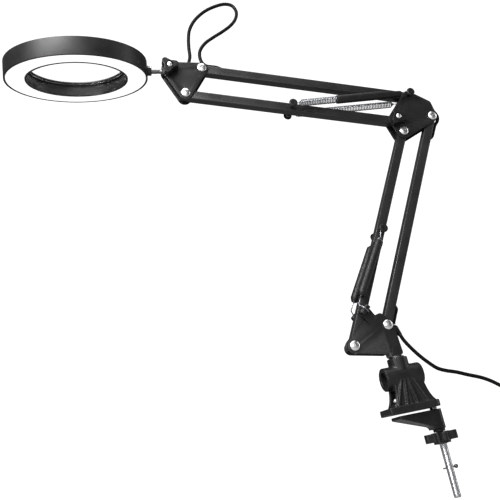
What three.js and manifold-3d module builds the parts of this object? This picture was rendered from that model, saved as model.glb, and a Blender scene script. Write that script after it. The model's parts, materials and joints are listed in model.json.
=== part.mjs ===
// Magnifying lamp on a sprung swing arm: desk clamp, two parallelogram arm sections and a lit ring head.
// Millimetres, +Z up. The origin is where the clamp's swivel axis meets the desk top, and the mid-plane of the
// arm is y = 0. The desk lies towards -X, and the arm leans back towards +X before it reaches over the desk.
import * as THREE from "three";
import { mergeVertices } from "three/addons/utils/BufferGeometryUtils.js";
import Module from "manifold-3d";

const wasm = await Module();
wasm.setup();

// Driving dimensions: arm
const LOWER_ARM = 275; // pivot to pivot
const UPPER_ARM = 255; // pivot to pivot
const LOWER_LEAN = 27.6; // degrees from upright, towards +X
const UPPER_RISE = 13.9; // degrees above level, towards -X
const LOWER_SPACING = [42.6, 16.2]; // front pivot to rear pivot, x and z
const UPPER_SPACING = [24.9, 31.4]; // lower pivot to top pivot, x and z
const BASE_PIVOT = [-45.3, 77.3]; // front tube's pivot on the base bracket
const ELBOW_STEP = [-5.4, 16.1]; // lower arm's front pivot to the upper arm's lower pivot
const HEAD_STEP = [-13.4, 34]; // upper arm's lower pivot to the head rod's pivot
const TUBE = 10.7; // square tube across flats
const TUBE_WALL = 1;
const TUBE_CORNER = 1;
const TUBE_OVERHANG = 6; // tube beyond its pivot
const PLATE = 1.2; // bracket sheet
const SIDE_PLAY = 0.3; // tube to plate, each side
const GAP = 0.3; // between pieces that touch

// Driving dimensions: fasteners
const BOLT_R = 2.5;
const BOLT_HEAD_R = 5.5;
const BOLT_HEAD_H = 2.6;
const NUT_FLATS = 9;
const NUT_H = 3.6;
const BOLT_END = 1.4; // thread showing beyond its nut
const KNOB_R = 7.2;
const KNOB_LOBE_R = 3.7;
const KNOB_H = 9;

// Driving dimensions: springs
const SPRING_R = 4.3;
const SPRING_PLANE = 12.5; // from the mid-plane
const WIRE_R = 0.6;
const SLEEVE_WALL = 0.7;
const HOOK_L = 9; // straight wire at each end of a spring
const PIN_R = 2;
const PIN_HEAD_R = 5;
const PIN_HEAD_H = 2;
const LOWER_PIN_AT = 0.504; // share of the lower arm, from its base pivot
const UPPER_PIN_AT = 0.507; // share of the upper arm, from its elbow pivot
const BASE_HOOK = [-33, 118];

// Driving dimensions: head
const RING_R = 80;
const HOLE_R = 55.3;
const RING_H = 20.2;
const RING_WALL = 2;
const LENS_EDGE = 2.2;
const LENS_SAG = 3.2;
const LENS_LIP = 1.5;
const ROD_REACH = 25; // head pivot to the ring's wall
const HEAD_SLOPE = 4.7; // degrees
const RING_ROLL = 13.3; // degrees, near edge down
const ROD_R = 2.5;
const EYE_R = 7;

// Driving dimensions: clamp
const FLANGE_H = 7;
const FLANGE_TIP = -28.5;
const FLANGE_END = 30.5;
const FLANGE_HALF_W = 16;
const WEB_HALF_W = 10.5;
const SOCKET_R = 11;
const SOCKET_TOP = 57.5;
const SPIGOT_R = 6;
const BARREL_R = 12.5;
const BARREL_BORE_R = 8;
const BARREL_HALF_L = 21;
const BARREL_Z = 37;
const SCREW_X = 25.4;
const SCREW_R = 4;
const SCREW_END = -92;
const JAW_TOP = -2.5;
const JAW_TIP = -19;
const JAW_BOSS_R = 7.5;
const JAW_FOOT = -22.5;
const JAW_BOTTOM = -25.5;
const CLAMP_KNOB_Z = -35.2;
const CLAMP_KNOB_H = 9;
const STOP_Z = -62;

// Driving dimensions: cords
const CORD_R = 2.05;
const FLOOR = SCREW_END; // the surface that the loose cord lies on
const COIL_CENTRE = [119.5, 0];
const COIL_R = 24.6; // middle of the turns
const COIL_COLUMNS = 4;
const COIL_ROWS = 2;

const rad = THREE.MathUtils.degToRad;
const lamp = new THREE.Group();

// Directions and pivots in the x-z plane.
const add = (a, b, k = 1) => [a[0] + k * b[0], a[1] + k * b[1]];
const lowerAlong = [Math.sin(rad(LOWER_LEAN)), Math.cos(rad(LOWER_LEAN))];
const upperAlong = [-Math.cos(rad(UPPER_RISE)), Math.sin(rad(UPPER_RISE))];
const baseFront = BASE_PIVOT;
const baseRear = add(baseFront, LOWER_SPACING);
const elbowFront = add(baseFront, lowerAlong, LOWER_ARM);
const elbowRear = add(baseRear, lowerAlong, LOWER_ARM);
const elbowLow = add(elbowFront, ELBOW_STEP);
const elbowTop = add(elbowLow, UPPER_SPACING);
const headLow = add(elbowLow, upperAlong, UPPER_ARM);
const headTop = add(elbowTop, upperAlong, UPPER_ARM);
const headPivot = add(headLow, HEAD_STEP);
const lowerPin = add(baseFront, lowerAlong, LOWER_PIN_AT * LOWER_ARM);
const upperPin = add(elbowLow, upperAlong, UPPER_PIN_AT * UPPER_ARM);

const innerY = TUBE / 2 + SIDE_PLAY; // inner face of each plate
const outerY = innerY + PLATE;

// Finishes
const finish = (color, roughness, metalness) => new THREE.MeshStandardMaterial({ color, roughness, metalness });
const blackPaint = finish(0x242425, 0.42, 0.2);
const blackPlastic = finish(0x161617, 0.55, 0);
const chrome = finish(0xd8d9dc, 0.16, 1);
const steel = finish(0xa9abae, 0.3, 1);
const rubber = finish(0x0c0c0d, 0.6, 0);
const opal = finish(0xf6f7f8, 0.35, 0);
const board = finish(0xe8e8e2, 0.6, 0);
const clear = finish(0xeef4f6, 0.03, 0);
clear.transparent = true;
clear.opacity = 0.25;

// A closed geometry as a solid for joining and cutting.
function solid(geometry) {
  const bare = geometry.clone();
  bare.deleteAttribute("normal");
  bare.deleteAttribute("uv");
  const merged = mergeVertices(bare, 1e-4);
  return new wasm.Manifold(
    new wasm.Mesh({
      numProp: 3,
      vertProperties: merged.attributes.position.array,
      triVerts: new Uint32Array(merged.index.array),
    }),
  );
}

function geometryOf(body) {
  const mesh = body.getMesh();
  const geometry = new THREE.BufferGeometry();
  geometry.setAttribute("position", new THREE.BufferAttribute(new Float32Array(mesh.vertProperties), 3));
  geometry.setIndex(new THREE.BufferAttribute(new Uint32Array(mesh.triVerts), 1));
  geometry.computeVertexNormals();
  return geometry;
}

function place(name, shape, material, parent = lamp) {
  const geometry = shape.isBufferGeometry ? shape : geometryOf(shape);
  const mesh = new THREE.Mesh(geometry, material);
  mesh.name = name;
  parent.add(mesh);
  return mesh;
}

const join = (...bodies) => bodies.reduce((a, b) => a.add(b));
const cut = (body, ...tools) => tools.reduce((a, b) => a.subtract(b), body);

// Outline around a loop of circles [x, y, r] given counter-clockwise, joined by their outer tangents.
function outline(circles) {
  const shape = new THREE.Shape();
  const turn = (a, b) => {
    const along = Math.atan2(b[1] - a[1], b[0] - a[0]);
    return along - Math.acos((a[2] - b[2]) / Math.hypot(b[0] - a[0], b[1] - a[1]));
  };
  circles.forEach((circle, i) => {
    const before = circles[(i + circles.length - 1) % circles.length];
    const after = circles[(i + 1) % circles.length];
    shape.absarc(circle[0], circle[1], circle[2], turn(before, circle), turn(circle, after), false);
  });
  return shape;
}

// A sheet or block drawn in x and z, filling y from low to high.
function slab(shape, low, high, curveSegments = 6) {
  const geometry = new THREE.ExtrudeGeometry(shape, { depth: high - low, bevelEnabled: false, curveSegments });
  return geometry.rotateX(Math.PI / 2).translate(0, high, 0);
}

// A block drawn in x and y, filling z from low to high.
function prism(shape, low, high, curveSegments = 6) {
  const geometry = new THREE.ExtrudeGeometry(shape, { depth: high - low, bevelEnabled: false, curveSegments });
  return geometry.translate(0, 0, low);
}

const turned = (profile, segments = 16) =>
  new THREE.LatheGeometry(
    profile.map(([r, along]) => new THREE.Vector2(r, along)),
    segments,
  );
const turnedY = (profile, [x, z], segments) => turned(profile, segments).translate(x, 0, z);
const turnedZ = (profile, x, y, segments) => turned(profile, segments).rotateX(Math.PI / 2).translate(x, y, 0);
const rodY = (r, low, high, at, segments = 14) => turnedY([[0, low], [r, low], [r, high], [0, high]], at, segments);
const rodZ = (r, low, high, x, y, segments = 20) =>
  turnedZ([[0, low], [r, low], [r, high], [0, high]], x, y, segments);
const rodX = (r, low, high, y, z, segments = 20) =>
  turned([[0, low], [r, low], [r, high], [0, high]], segments).rotateZ(-Math.PI / 2).translate(0, y, z);
const box = (x, y, z, cx, cy, cz) => new THREE.BoxGeometry(x, y, z).translate(cx, cy, cz);

// A round cord along a smooth curve through the given points [x, y, z].
function cordAlong(points, r, steps) {
  const curve = new THREE.CatmullRomCurve3(points.map((p) => new THREE.Vector3(...p)), false, "centripetal");
  const section = new THREE.Shape();
  for (let i = 0; i < 8; i++) {
    const a = (i * Math.PI) / 4;
    if (i) section.lineTo(r * Math.cos(a), r * Math.sin(a));
    else section.moveTo(r, 0);
  }
  return new THREE.ExtrudeGeometry(section, { steps, extrudePath: curve, curveSegments: 1 });
}

// Fasteners across the arm, head towards -Y.
function bolt(name, at, grip = outerY) {
  const head = -grip - GAP;
  const end = grip + GAP + NUT_H + BOLT_END;
  const profile = [
    [0, head - BOLT_HEAD_H],
    [BOLT_HEAD_R * 0.45, head - BOLT_HEAD_H * 0.9],
    [BOLT_HEAD_R * 0.8, head - BOLT_HEAD_H * 0.6],
    [BOLT_HEAD_R, head - BOLT_HEAD_H * 0.15],
    [BOLT_HEAD_R, head],
    [BOLT_R, head],
    [BOLT_R, end],
    [0, end],
  ];
  return place(name, turnedY(profile, at, 16), chrome);
}

function hexagon(flats, boreR) {
  const shape = new THREE.Shape();
  for (let i = 0; i < 6; i++) {
    const a = (i * Math.PI) / 3;
    const r = flats / Math.sqrt(3);
    if (i) shape.lineTo(r * Math.cos(a), r * Math.sin(a));
    else shape.moveTo(r, 0);
  }
  shape.holes.push(new THREE.Path().absarc(0, 0, boreR, 0, 2 * Math.PI, true));
  return shape;
}

function nut(name, at, grip = outerY) {
  const low = grip + GAP;
  const geometry = slab(hexagon(NUT_FLATS, BOLT_R + GAP), low, low + NUT_H).translate(at[0], 0, at[1]);
  return place(name, geometry, steel);
}

function boltAndNut(name, at) {
  bolt(name + "_bolt", at);
  nut(name + "_nut", at);
}

// Three-lobed hand knob on a pivot bolt, in front of the front plate.
function starKnob(name, at, turn) {
  const low = -outerY - GAP - KNOB_H;
  const high = -outerY - GAP;
  const lobes = [0, 1, 2].map((i) => {
    const a = turn + (i * 2 * Math.PI) / 3;
    const tip = [KNOB_R * Math.cos(a), KNOB_R * Math.sin(a), KNOB_LOBE_R];
    const side = Math.PI / 3;
    const root = (sign) => [1.6 * Math.cos(a + sign * side), 1.6 * Math.sin(a + sign * side), 4.2];
    return solid(slab(outline([root(-1), tip, root(1)]), low, high, 8).translate(at[0], 0, at[1]));
  });
  const bore = solid(rodY(BOLT_R + GAP, low - 1, high + 1, at));
  const recess = solid(rodY(BOLT_R + 1.7, low - 1, low + 2.5, at));
  return place(name, cut(join(...lobes), bore, recess), blackPlastic);
}

// Stud of a hand knob: round nose in the knob, nut end behind the back plate.
function knobStud(name, at) {
  const nose = -outerY - GAP - KNOB_H;
  const end = outerY + GAP + NUT_H + 1;
  const cap = outerY + GAP;
  const profile = [
    [0, nose - 0.6],
    [BOLT_R * 0.75, nose - 0.2],
    [BOLT_R, nose + 0.8],
    [BOLT_R, cap],
    [NUT_FLATS / 2, cap],
    [NUT_FLATS / 2, cap + NUT_H * 0.7],
    [BOLT_R, end],
    [0, end],
  ];
  return place(name, turnedY(profile, at, 16), chrome);
}

// Bracket plate from one or more overlapping outlines, bored for its pins: the same plate front and back.
function bracketPlate(name, outlines, holes, front, ...extras) {
  const low = front ? -outerY : innerY;
  const sheets = outlines.map((circles) => solid(slab(outline(circles), low, low + PLATE)));
  const bores = holes.map(([at, r]) => solid(rodY(r, low - 1, low + PLATE + 1, at)));
  return place(name, cut(join(...sheets, ...extras), ...bores), blackPaint);
}

// Square tube between two pivots, bored for its pins.
function squareTube(name, from, along, length, pins, slots = []) {
  const section = (half, corner) =>
    outline([
      [-half + corner, -half + corner, corner],
      [half - corner, -half + corner, corner],
      [half - corner, half - corner, corner],
      [-half + corner, half - corner, corner],
    ]);
  const shape = section(TUBE / 2, TUBE_CORNER);
  const inner = section(TUBE / 2 - TUBE_WALL, TUBE_CORNER / 2);
  shape.holes.push(new THREE.Path(inner.getPoints(1).reverse()));
  const low = -TUBE_OVERHANG;
  const tube = prism(shape, low, length + TUBE_OVERHANG, 2);
  const lean = Math.atan2(along[0], along[1]);
  const standing = tube.rotateY(lean).translate(from[0], 0, from[1]);
  const bores = pins.map(([share, r]) => {
    const at = add(from, along, share * length);
    return solid(rodY(r + GAP, -TUBE, TUBE, at, 12));
  });
  const mouths = slots.map(([near, far, side]) => {
    const mid = (near + far) / 2;
    const mouth = box(TUBE, 2 * (CORD_R + GAP), far - near, (side * TUBE) / 2, 0, mid);
    return solid(mouth.rotateY(lean).translate(from[0], 0, from[1]));
  });
  return place(name, cut(solid(standing), ...bores, ...mouths), blackPaint);
}

// Coil spring envelope with straight wire ends, beside the arm on the given side.
function spring(name, from, to, side) {
  const length = Math.hypot(to[0] - from[0], to[1] - from[1]) - 2 * (PIN_R + GAP);
  const profile = [
    [0, 0],
    [WIRE_R, 0],
    [WIRE_R, HOOK_L],
    [SPRING_R, HOOK_L],
    [SPRING_R, length - HOOK_L],
    [WIRE_R, length - HOOK_L],
    [WIRE_R, length],
    [0, length],
  ];
  return place(name, alongLine(turned(profile, 12), from, to, side), steel);
}

function alongLine(geometry, from, to, side) {
  const angle = Math.atan2(to[0] - from[0], to[1] - from[1]);
  const standing = geometry.rotateX(Math.PI / 2).translate(0, 0, PIN_R + GAP);
  return standing.rotateY(angle).translate(from[0], side * SPRING_PLANE, from[1]);
}

function sleeve(name, from, to, side, low, high) {
  const inner = SPRING_R + GAP;
  const outer = inner + SLEEVE_WALL;
  const profile = [[inner, low], [outer, low], [outer, high], [inner, high], [inner, low]];
  return place(name, alongLine(turned(profile, 14), from, to, side), rubber);
}

// Cross pin for a pair of springs, with a broad head at each end.
function springPin(name, at) {
  const head = SPRING_PLANE + SPRING_R * 0.45;
  const end = head + PIN_HEAD_H;
  const profile = [
    [0, -end],
    [PIN_HEAD_R, -end],
    [PIN_HEAD_R, -head],
    [PIN_R, -head],
    [PIN_R, head],
    [PIN_HEAD_R, head],
    [PIN_HEAD_R, end],
    [0, end],
  ];
  return place(name, turnedY(profile, at, 16), blackPlastic);
}

// Desk clamp: flange on the desk, upright socket for the spigot, level barrel for wall or side mounting.
function clampBody() {
  const flange = prism(
    outline([
      [FLANGE_TIP + 2, -FLANGE_HALF_W + 2, 2],
      [FLANGE_END - 9, -FLANGE_HALF_W + 9, 9],
      [FLANGE_END - 9, FLANGE_HALF_W - 9, 9],
      [FLANGE_TIP + 2, FLANGE_HALF_W - 2, 2],
    ]),
    0,
    FLANGE_H,
  );
  const socket = rodZ(SOCKET_R, 1, SOCKET_TOP, 0, 0, 24);
  const barrel = rodX(BARREL_R, -BARREL_HALF_L, BARREL_HALF_L, 0, BARREL_Z, 24);
  const web = new THREE.Shape();
  web.moveTo(-21, 1);
  web.lineTo(FLANGE_END - 4, 1);
  web.lineTo(FLANGE_END - 4, FLANGE_H + 1);
  web.quadraticCurveTo(21, 13, 18, BARREL_Z - 4);
  web.lineTo(-14, BARREL_Z - 4);
  web.quadraticCurveTo(-15, 14, -21, FLANGE_H);
  web.closePath();
  const ribs = [-19, -7, 6, 19].map((foot) => {
    const rib = new THREE.Shape();
    rib.moveTo(foot - 1.2, 1);
    rib.lineTo(foot + 1.2, 1);
    rib.lineTo(foot * 0.3 + 1, BARREL_Z - 3);
    rib.lineTo(foot * 0.3 - 1, BARREL_Z - 3);
    rib.closePath();
    return solid(slab(rib, -BARREL_R, BARREL_R));
  });
  const spigotBore = rodZ(SPIGOT_R + GAP, FLANGE_H, SOCKET_TOP + 1, 0, 0, 24);
  const sideBore = rodX(BARREL_BORE_R, -BARREL_HALF_L - 1, BARREL_HALF_L + 1, 0, BARREL_Z, 24);
  const screwBore = rodZ(SCREW_R + GAP, -1, FLANGE_H - 1, SCREW_X, 0);
  const pocket = box(WEB_HALF_W, 13, BARREL_Z - BARREL_R - FLANGE_H - 2, -8 - WEB_HALF_W / 2, 0, 0);
  pocket.translate(0, 0, (BARREL_Z - BARREL_R + FLANGE_H) / 2 + 0.5);
  const body = join(solid(flange), solid(socket), solid(barrel), solid(slab(web, -WEB_HALF_W, WEB_HALF_W, 5)), ...ribs);
  const hollows = [spigotBore, sideBore, screwBore, pocket].map(solid);
  place("clamp_body", cut(body, ...hollows), blackPlastic);
}

function clampScrew() {
  const profile = [
    [0, SCREW_END],
    [SCREW_R - 1, SCREW_END],
    [SCREW_R, SCREW_END + 1],
    [SCREW_R, FLANGE_H - 1 - GAP],
    [0, FLANGE_H - 1 - GAP],
  ];
  const hole = rodX(1.1, -10, 10, 0, STOP_Z, 10).translate(SCREW_X, 0, 0);
  place("clamp_screw", cut(solid(turnedZ(profile, SCREW_X, 0, 20)), solid(hole)), steel);
  const ball = new THREE.SphereGeometry(2.2, 12, 8).translate(SCREW_X + 7.5, 0, STOP_Z);
  const wire = rodX(0.8, -7, 7, 0, STOP_Z, 8).translate(SCREW_X, 0, 0);
  place("screw_stop_pin", join(solid(wire), solid(ball)), steel);
}

function clampJaw() {
  const wedge = new THREE.Shape();
  wedge.moveTo(JAW_TIP, JAW_TOP);
  wedge.lineTo(JAW_TIP, JAW_TOP - 3);
  wedge.lineTo(14, JAW_FOOT + 4.5);
  wedge.quadraticCurveTo(17.5, JAW_FOOT + 3.5, SCREW_X - JAW_BOSS_R, JAW_FOOT);
  wedge.lineTo(SCREW_X + JAW_BOSS_R, JAW_FOOT);
  wedge.lineTo(SCREW_X + JAW_BOSS_R, JAW_TOP);
  wedge.closePath();
  const plan = prism(
    outline([
      [JAW_TIP + 2, -11, 2],
      [SCREW_X, 0, JAW_BOSS_R],
      [JAW_TIP + 2, 11, 2],
    ]),
    JAW_BOTTOM - 5,
    5,
    10,
  );
  const boss = rodZ(JAW_BOSS_R - 1.2, JAW_BOTTOM, JAW_FOOT + 4, SCREW_X, 0);
  const bore = rodZ(SCREW_R + GAP, JAW_BOTTOM - 1, 1, SCREW_X, 0);
  const block = solid(slab(wedge, -14, 14)).intersect(solid(plan));
  place("clamp_jaw", cut(join(block, solid(boss)), solid(bore)), blackPlastic);
}

function clampKnob() {
  const top = JAW_BOTTOM - GAP;
  const wings = [0, Math.PI / 2].map((a) => {
    const reach = [13.5 * Math.cos(a - 0.17), 13.5 * Math.sin(a - 0.17)];
    const bar = outline([
      [SCREW_X - reach[0], -reach[1], 4],
      [SCREW_X + reach[0], reach[1], 4],
    ]);
    return solid(prism(bar, CLAMP_KNOB_Z, CLAMP_KNOB_Z + CLAMP_KNOB_H, 6));
  });
  const hub = rodZ(9, CLAMP_KNOB_Z - 2.5, top, SCREW_X, 0, 20);
  const bore = rodZ(SCREW_R + 1.6 + GAP, CLAMP_KNOB_Z - 5, top + 1, SCREW_X, 0, 16);
  place("clamp_knob", cut(join(...wings, solid(hub)), solid(bore)), blackPlastic);
  const insert = [
    [SCREW_R + GAP, CLAMP_KNOB_Z - 2.8],
    [SCREW_R + 1.6, CLAMP_KNOB_Z - 2.8],
    [SCREW_R + 1.6, top - 1],
    [SCREW_R + GAP, top - 1],
    [SCREW_R + GAP, CLAMP_KNOB_Z - 2.8],
  ];
  place("knob_insert", turnedZ(insert, SCREW_X, 0, 16), steel);
}

// Base bracket: two plates on a spigot, each with a curled tongue that a spring hooks on.
function baseBracket() {
  const sheet = [
    [-46.2, 76.6, 7],
    [-11.5, 67.5, 4.5],
    [-2.6, 92.5, 6.6],
    [-9, 103.5, 4],
    [-24, 99, 4.5],
    [-44, 79.6, 7],
  ];
  const neck = [
    [-3.5, 62.4, 3],
    [3.1, 62.4, 3],
    [-2.6, 92.5, 6.6],
  ];
  const across = [0.8, 0.6];
  const uphill = [-0.6, 0.8];
  const root = [-19.5, 102];
  const lean = Math.atan2(across[1], across[0]);
  // The tongue's section runs uphill and curls outward at its end.
  const tongue = (side) => {
    const curl = new THREE.Shape();
    curl.moveTo(-4, 0);
    curl.lineTo(9, 4.4);
    curl.absarc(12.5, 7.6, 4, -Math.PI / 2.2, Math.PI * 0.72, false);
    curl.absarc(12.5, 7.6, 4 - PLATE, Math.PI * 0.72, -Math.PI / 2.2, true);
    curl.lineTo(8.6, 4.4 + PLATE);
    curl.lineTo(-4, PLATE);
    curl.closePath();
    const strip = new THREE.ExtrudeGeometry(curl, { depth: 12, bevelEnabled: false, curveSegments: 8 });
    // Section x runs uphill, section y outwards, depth across the tongue.
    const basis = new THREE.Matrix4().makeBasis(
      new THREE.Vector3(uphill[0], 0, uphill[1]),
      new THREE.Vector3(0, side, 0),
      new THREE.Vector3(side * -across[0], 0, side * -across[1]),
    );
    strip.translate(0, 0, -6).applyMatrix4(basis);
    return solid(strip.translate(root[0], side * innerY, root[1]));
  };
  const holes = [
    [baseFront, BOLT_R + GAP],
    [baseRear, BOLT_R + GAP],
  ];
  [[-1, "front"], [1, "back"]].forEach(([side, word]) =>
    bracketPlate("base_plate_" + word, [sheet, neck], holes, side < 0, tongue(side)),
  );
  const neckTop = 84;
  const spigot = rodZ(SPIGOT_R, FLANGE_H + 3, SOCKET_TOP + 1.7, 0, 0, 20);
  const collar = rodZ(SPIGOT_R + 2, SOCKET_TOP + GAP, SOCKET_TOP + 1.4, 0, 0, 20);
  const tang = slab(
    outline([
      [-6, 61.5, 3],
      [2, 61.5, 3],
      [1, neckTop - 3, 3],
      [-9, neckTop - 6, 3],
    ]),
    -innerY + GAP,
    innerY - GAP,
  );
  const swing = Math.hypot(TUBE_OVERHANG, TUBE / 2) + 2 * GAP; // room for the rear tube's end to turn
  const body = cut(join(solid(spigot), solid(tang)), solid(rodY(swing, -TUBE, TUBE, baseRear, 20)));
  place("base_spigot", join(body, solid(collar)), steel);
  boltAndNut("base_front", baseFront);
  boltAndNut("base_rear", baseRear);
}

function lowerArm() {
  const pinShare = [LOWER_PIN_AT, PIN_R];
  squareTube("lower_front_tube", baseFront, lowerAlong, LOWER_ARM, [[0, BOLT_R], pinShare, [1, BOLT_R]]);
  squareTube("lower_rear_tube", baseRear, lowerAlong, LOWER_ARM, [[0, BOLT_R], [1, BOLT_R]], [
    [15, 31, 1],
    [LOWER_ARM - 35, LOWER_ARM - 19, 1],
  ]);
  springPin("lower_spring_pin", lowerPin);
  const length = Math.hypot(lowerPin[0] - BASE_HOOK[0], lowerPin[1] - BASE_HOOK[1]);
  [[-1, "front"], [1, "back"]].forEach(([side, word]) => {
    spring("lower_spring_" + word, BASE_HOOK, lowerPin, side);
    sleeve("lower_sleeve_" + word, BASE_HOOK, lowerPin, side, HOOK_L + 1, length - HOOK_L - 5);
  });
}

function elbow() {
  const circles = [
    [...elbowFront, 9.5],
    [...elbowRear, 7],
    [elbowRear[0] - 0.5, elbowRear[1] + 17.5, 4.5],
    [...elbowTop, 6.2],
    [...elbowLow, 9],
  ];
  const holes = [elbowFront, elbowRear, elbowLow].map((at) => [at, BOLT_R + GAP]);
  holes.push([elbowTop, PIN_R + GAP]);
  bracketPlate("elbow_plate_front", [circles], holes, true);
  bracketPlate("elbow_plate_back", [circles], holes, false);
  boltAndNut("elbow_front", elbowFront);
  boltAndNut("elbow_rear", elbowRear);
  springPin("elbow_spring_pin", elbowTop);
  knobStud("elbow_knob_stud", elbowLow);
  starKnob("elbow_knob", elbowLow, rad(100));
}

function upperArm() {
  const pinShare = [UPPER_PIN_AT, PIN_R];
  squareTube("upper_low_tube", elbowLow, upperAlong, UPPER_ARM, [[0, BOLT_R], pinShare, [1, BOLT_R]]);
  squareTube("upper_top_tube", elbowTop, upperAlong, UPPER_ARM, [[0, PIN_R], [1, BOLT_R]], [
    [UPPER_ARM - 37, UPPER_ARM - 18, 1],
  ]);
  springPin("upper_spring_pin", upperPin);
  spring("upper_spring_front", elbowTop, upperPin, -1);
  spring("upper_spring_back", elbowTop, upperPin, 1);
  sleeve("upper_sleeve", elbowTop, upperPin, -1, HOOK_L + 1, 0.62 * UPPER_PIN_AT * UPPER_ARM);
}

function headBracket() {
  const circles = [
    [...headPivot, 9],
    [...headLow, 8],
    [...headTop, 7.2],
  ];
  const holes = [headPivot, headLow, headTop].map((at) => [at, BOLT_R + GAP]);
  bracketPlate("head_plate_front", [circles], holes, true);
  bracketPlate("head_plate_back", [circles], holes, false);
  boltAndNut("head_low", headLow);
  boltAndNut("head_top", headTop);
  knobStud("head_knob_stud", headPivot);
  starKnob("head_knob", headPivot, rad(125));
}

// Head frame: origin at the head pivot, +X back along the rod, the ring's wall at -ROD_REACH.
function head() {
  const frame = new THREE.Group();
  frame.position.set(headPivot[0], 0, headPivot[1]);
  frame.rotation.y = rad(HEAD_SLOPE);
  lamp.add(frame);
  const lugOut = 5;
  const lugW = 7.5;
  const wallX = -ROD_REACH;
  const eye = rodY(EYE_R, -TUBE / 2, TUBE / 2, [0, 0], 20);
  const bar = rodX(ROD_R, wallX + 1.5, -EYE_R + 2, 0, 0, 14);
  const eyeBore = rodY(BOLT_R + GAP, -TUBE, TUBE, [0, 0]);
  place("head_rod", cut(join(solid(eye), solid(bar)), solid(eyeBore)), steel, frame);

  const ring = new THREE.Group();
  ring.position.x = -ROD_REACH - RING_R;
  ring.rotation.x = rad(RING_ROLL);
  frame.add(ring);
  const half = RING_H / 2;
  const lensTop = half - 3.5;
  const lipR = HOLE_R - LENS_LIP;
  const housing = [
    [HOLE_R, -half],
    [HOLE_R + RING_WALL, -half],
    [HOLE_R + RING_WALL, half - RING_WALL],
    [RING_R - RING_WALL, half - RING_WALL],
    [RING_R - RING_WALL, -half],
    [RING_R, -half],
    [RING_R, half - 1],
    [RING_R - 1, half],
    [lipR, half],
    [lipR, lensTop + GAP],
    [HOLE_R, lensTop + GAP],
    [HOLE_R, -half],
  ];
  place("ring_housing", turnedZ(housing, 0, 0, 64), blackPlastic, ring);
  const annulus = (inner, outer, low, high, segments = 64) =>
    turnedZ([[inner, low], [outer, low], [outer, high], [inner, high], [inner, low]], 0, 0, segments);
  const channelIn = HOLE_R + RING_WALL + GAP;
  const channelOut = RING_R - RING_WALL - GAP;
  place("diffuser", annulus(channelIn, channelOut, -half + 0.4, -half + 1.9), opal, ring);
  place("led_board", annulus(channelIn + 0.5, channelOut - 0.5, -1.5, 0, 48), board, ring);
  const lensR = HOLE_R - GAP;
  const lensLow = lensTop - LENS_EDGE;
  const profile = [[0, lensLow - LENS_SAG]];
  [0.35, 0.7, 1].forEach((t) => profile.push([t * lensR, lensLow - LENS_SAG * (1 - t * t)]));
  [1, 0.7, 0.35].forEach((t) => profile.push([t * lensR, lensTop + LENS_SAG * (1 - t * t)]));
  profile.push([0, lensTop + LENS_SAG]);
  place("lens", turnedZ(profile, 0, 0, 48), clear, ring);
  place("lens_retainer", annulus(lensR - 1.4, lensR, lensLow - GAP - 1.2, lensLow - GAP, 48), blackPlastic, ring);

  const shell = solid(rodZ(RING_R + GAP, -20, 20, 0, 0, 96));
  const lugX = RING_R + lugOut / 2 - 0.5;
  const lug = box(lugOut + 1, lugW, lugW, lugX, 0, 0);
  const bore = rodX(ROD_R + GAP, RING_R, RING_R + 20, 0, 0, 14);
  const screwX = RING_R + 2.6;
  const screwBore = rodZ(1.3 + GAP, 2, 9, screwX, 0, 10);
  place("ring_lug", cut(solid(lug), shell, solid(bore), solid(screwBore)), blackPlastic, ring);
  const seat = lugW / 2 + GAP;
  const screw = [[0, seat - 1.1], [1.3, seat - 1.1], [1.3, seat], [2.6, seat], [2.6, seat + 3.6], [0, seat + 3.6]];
  place("lug_screw", turnedZ(screw, screwX, 0, 12), chrome, ring);
}

// Leads held by the arm: they cross a pivot in a short free bow.
const HEAD_LEAD = [
  [-159.2, 0, 438], [-158.6, 0, 442], [-155.8, 0, 450.1], [-154.8, 0, 462.8], [-152.9, 0, 475.7],
  [-149.8, 0, 487.2], [-141.9, 0, 499.9], [-127.6, 0, 512.3], [-112.1, 0, 519.5], [-98.7, 0, 522],
  [-90.3, 0, 518.8], [-86.9, 0, 509.5], [-90.3, 0, 499], [-98.5, 0, 490], [-110.4, 0, 482],
  [-123.1, 0, 474.8], [-134.7, 0, 467], [-142.1, 0, 457.5], [-144, 0, 449.1], [-142.6, 0, 441],
  [-138.5, 0, 436.2], [-132.4, 0, 434.5], [-126.3, 0, 432.9], [-121.3, 0, 429.8], [-117, 0, 425.9],
  [-113.5, 0, 423.4],
];

const REAR_LEAD = [
  [12.1, 0, 116.5], [14.6, 0, 110.3], [12.5, 0, 105.9], [9.2, 0, 99.4], [7.6, 0, 96.4], [7, 0, 94.4],
];

const ELBOW_LEAD = [
  [112.5, 0, 308.2], [116.1, 0, 310.2], [120.2, 0, 312.8], [124.4, 0, 320], [128.6, 0, 327.3], [133.6, 0, 332.9],
  [135.4, 0, 338.4], [132.7, 0, 346.1], [126.8, 0, 351.9], [120.2, 0, 356], [114, 0, 359.8],
];

const SUPPLY_CORD = [
  [6.6, 0, 92.8], [8.8, 0, 87.2], [10.8, 0, 82], [13.4, 0, 75.2], [20.8, 0, 63.2], [27.7, 0, 54.1], [35, 0, 46],
  [42.6, 0, 39.1], [51.1, 0, 35], [63.4, 0, 31], [75.4, 0, 26], [88.6, 0, 20.9], [98, 0, 16], [106, -1, 10],
  [118, -6, -2], [131, -18.5, -20], [141.5, -32.5, -42], [147.5, -41, -62], [150.2, -41, -77], [150.8, -32, -86.9],
  [150.25, -18, FLOOR + CORD_R],
];

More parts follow.
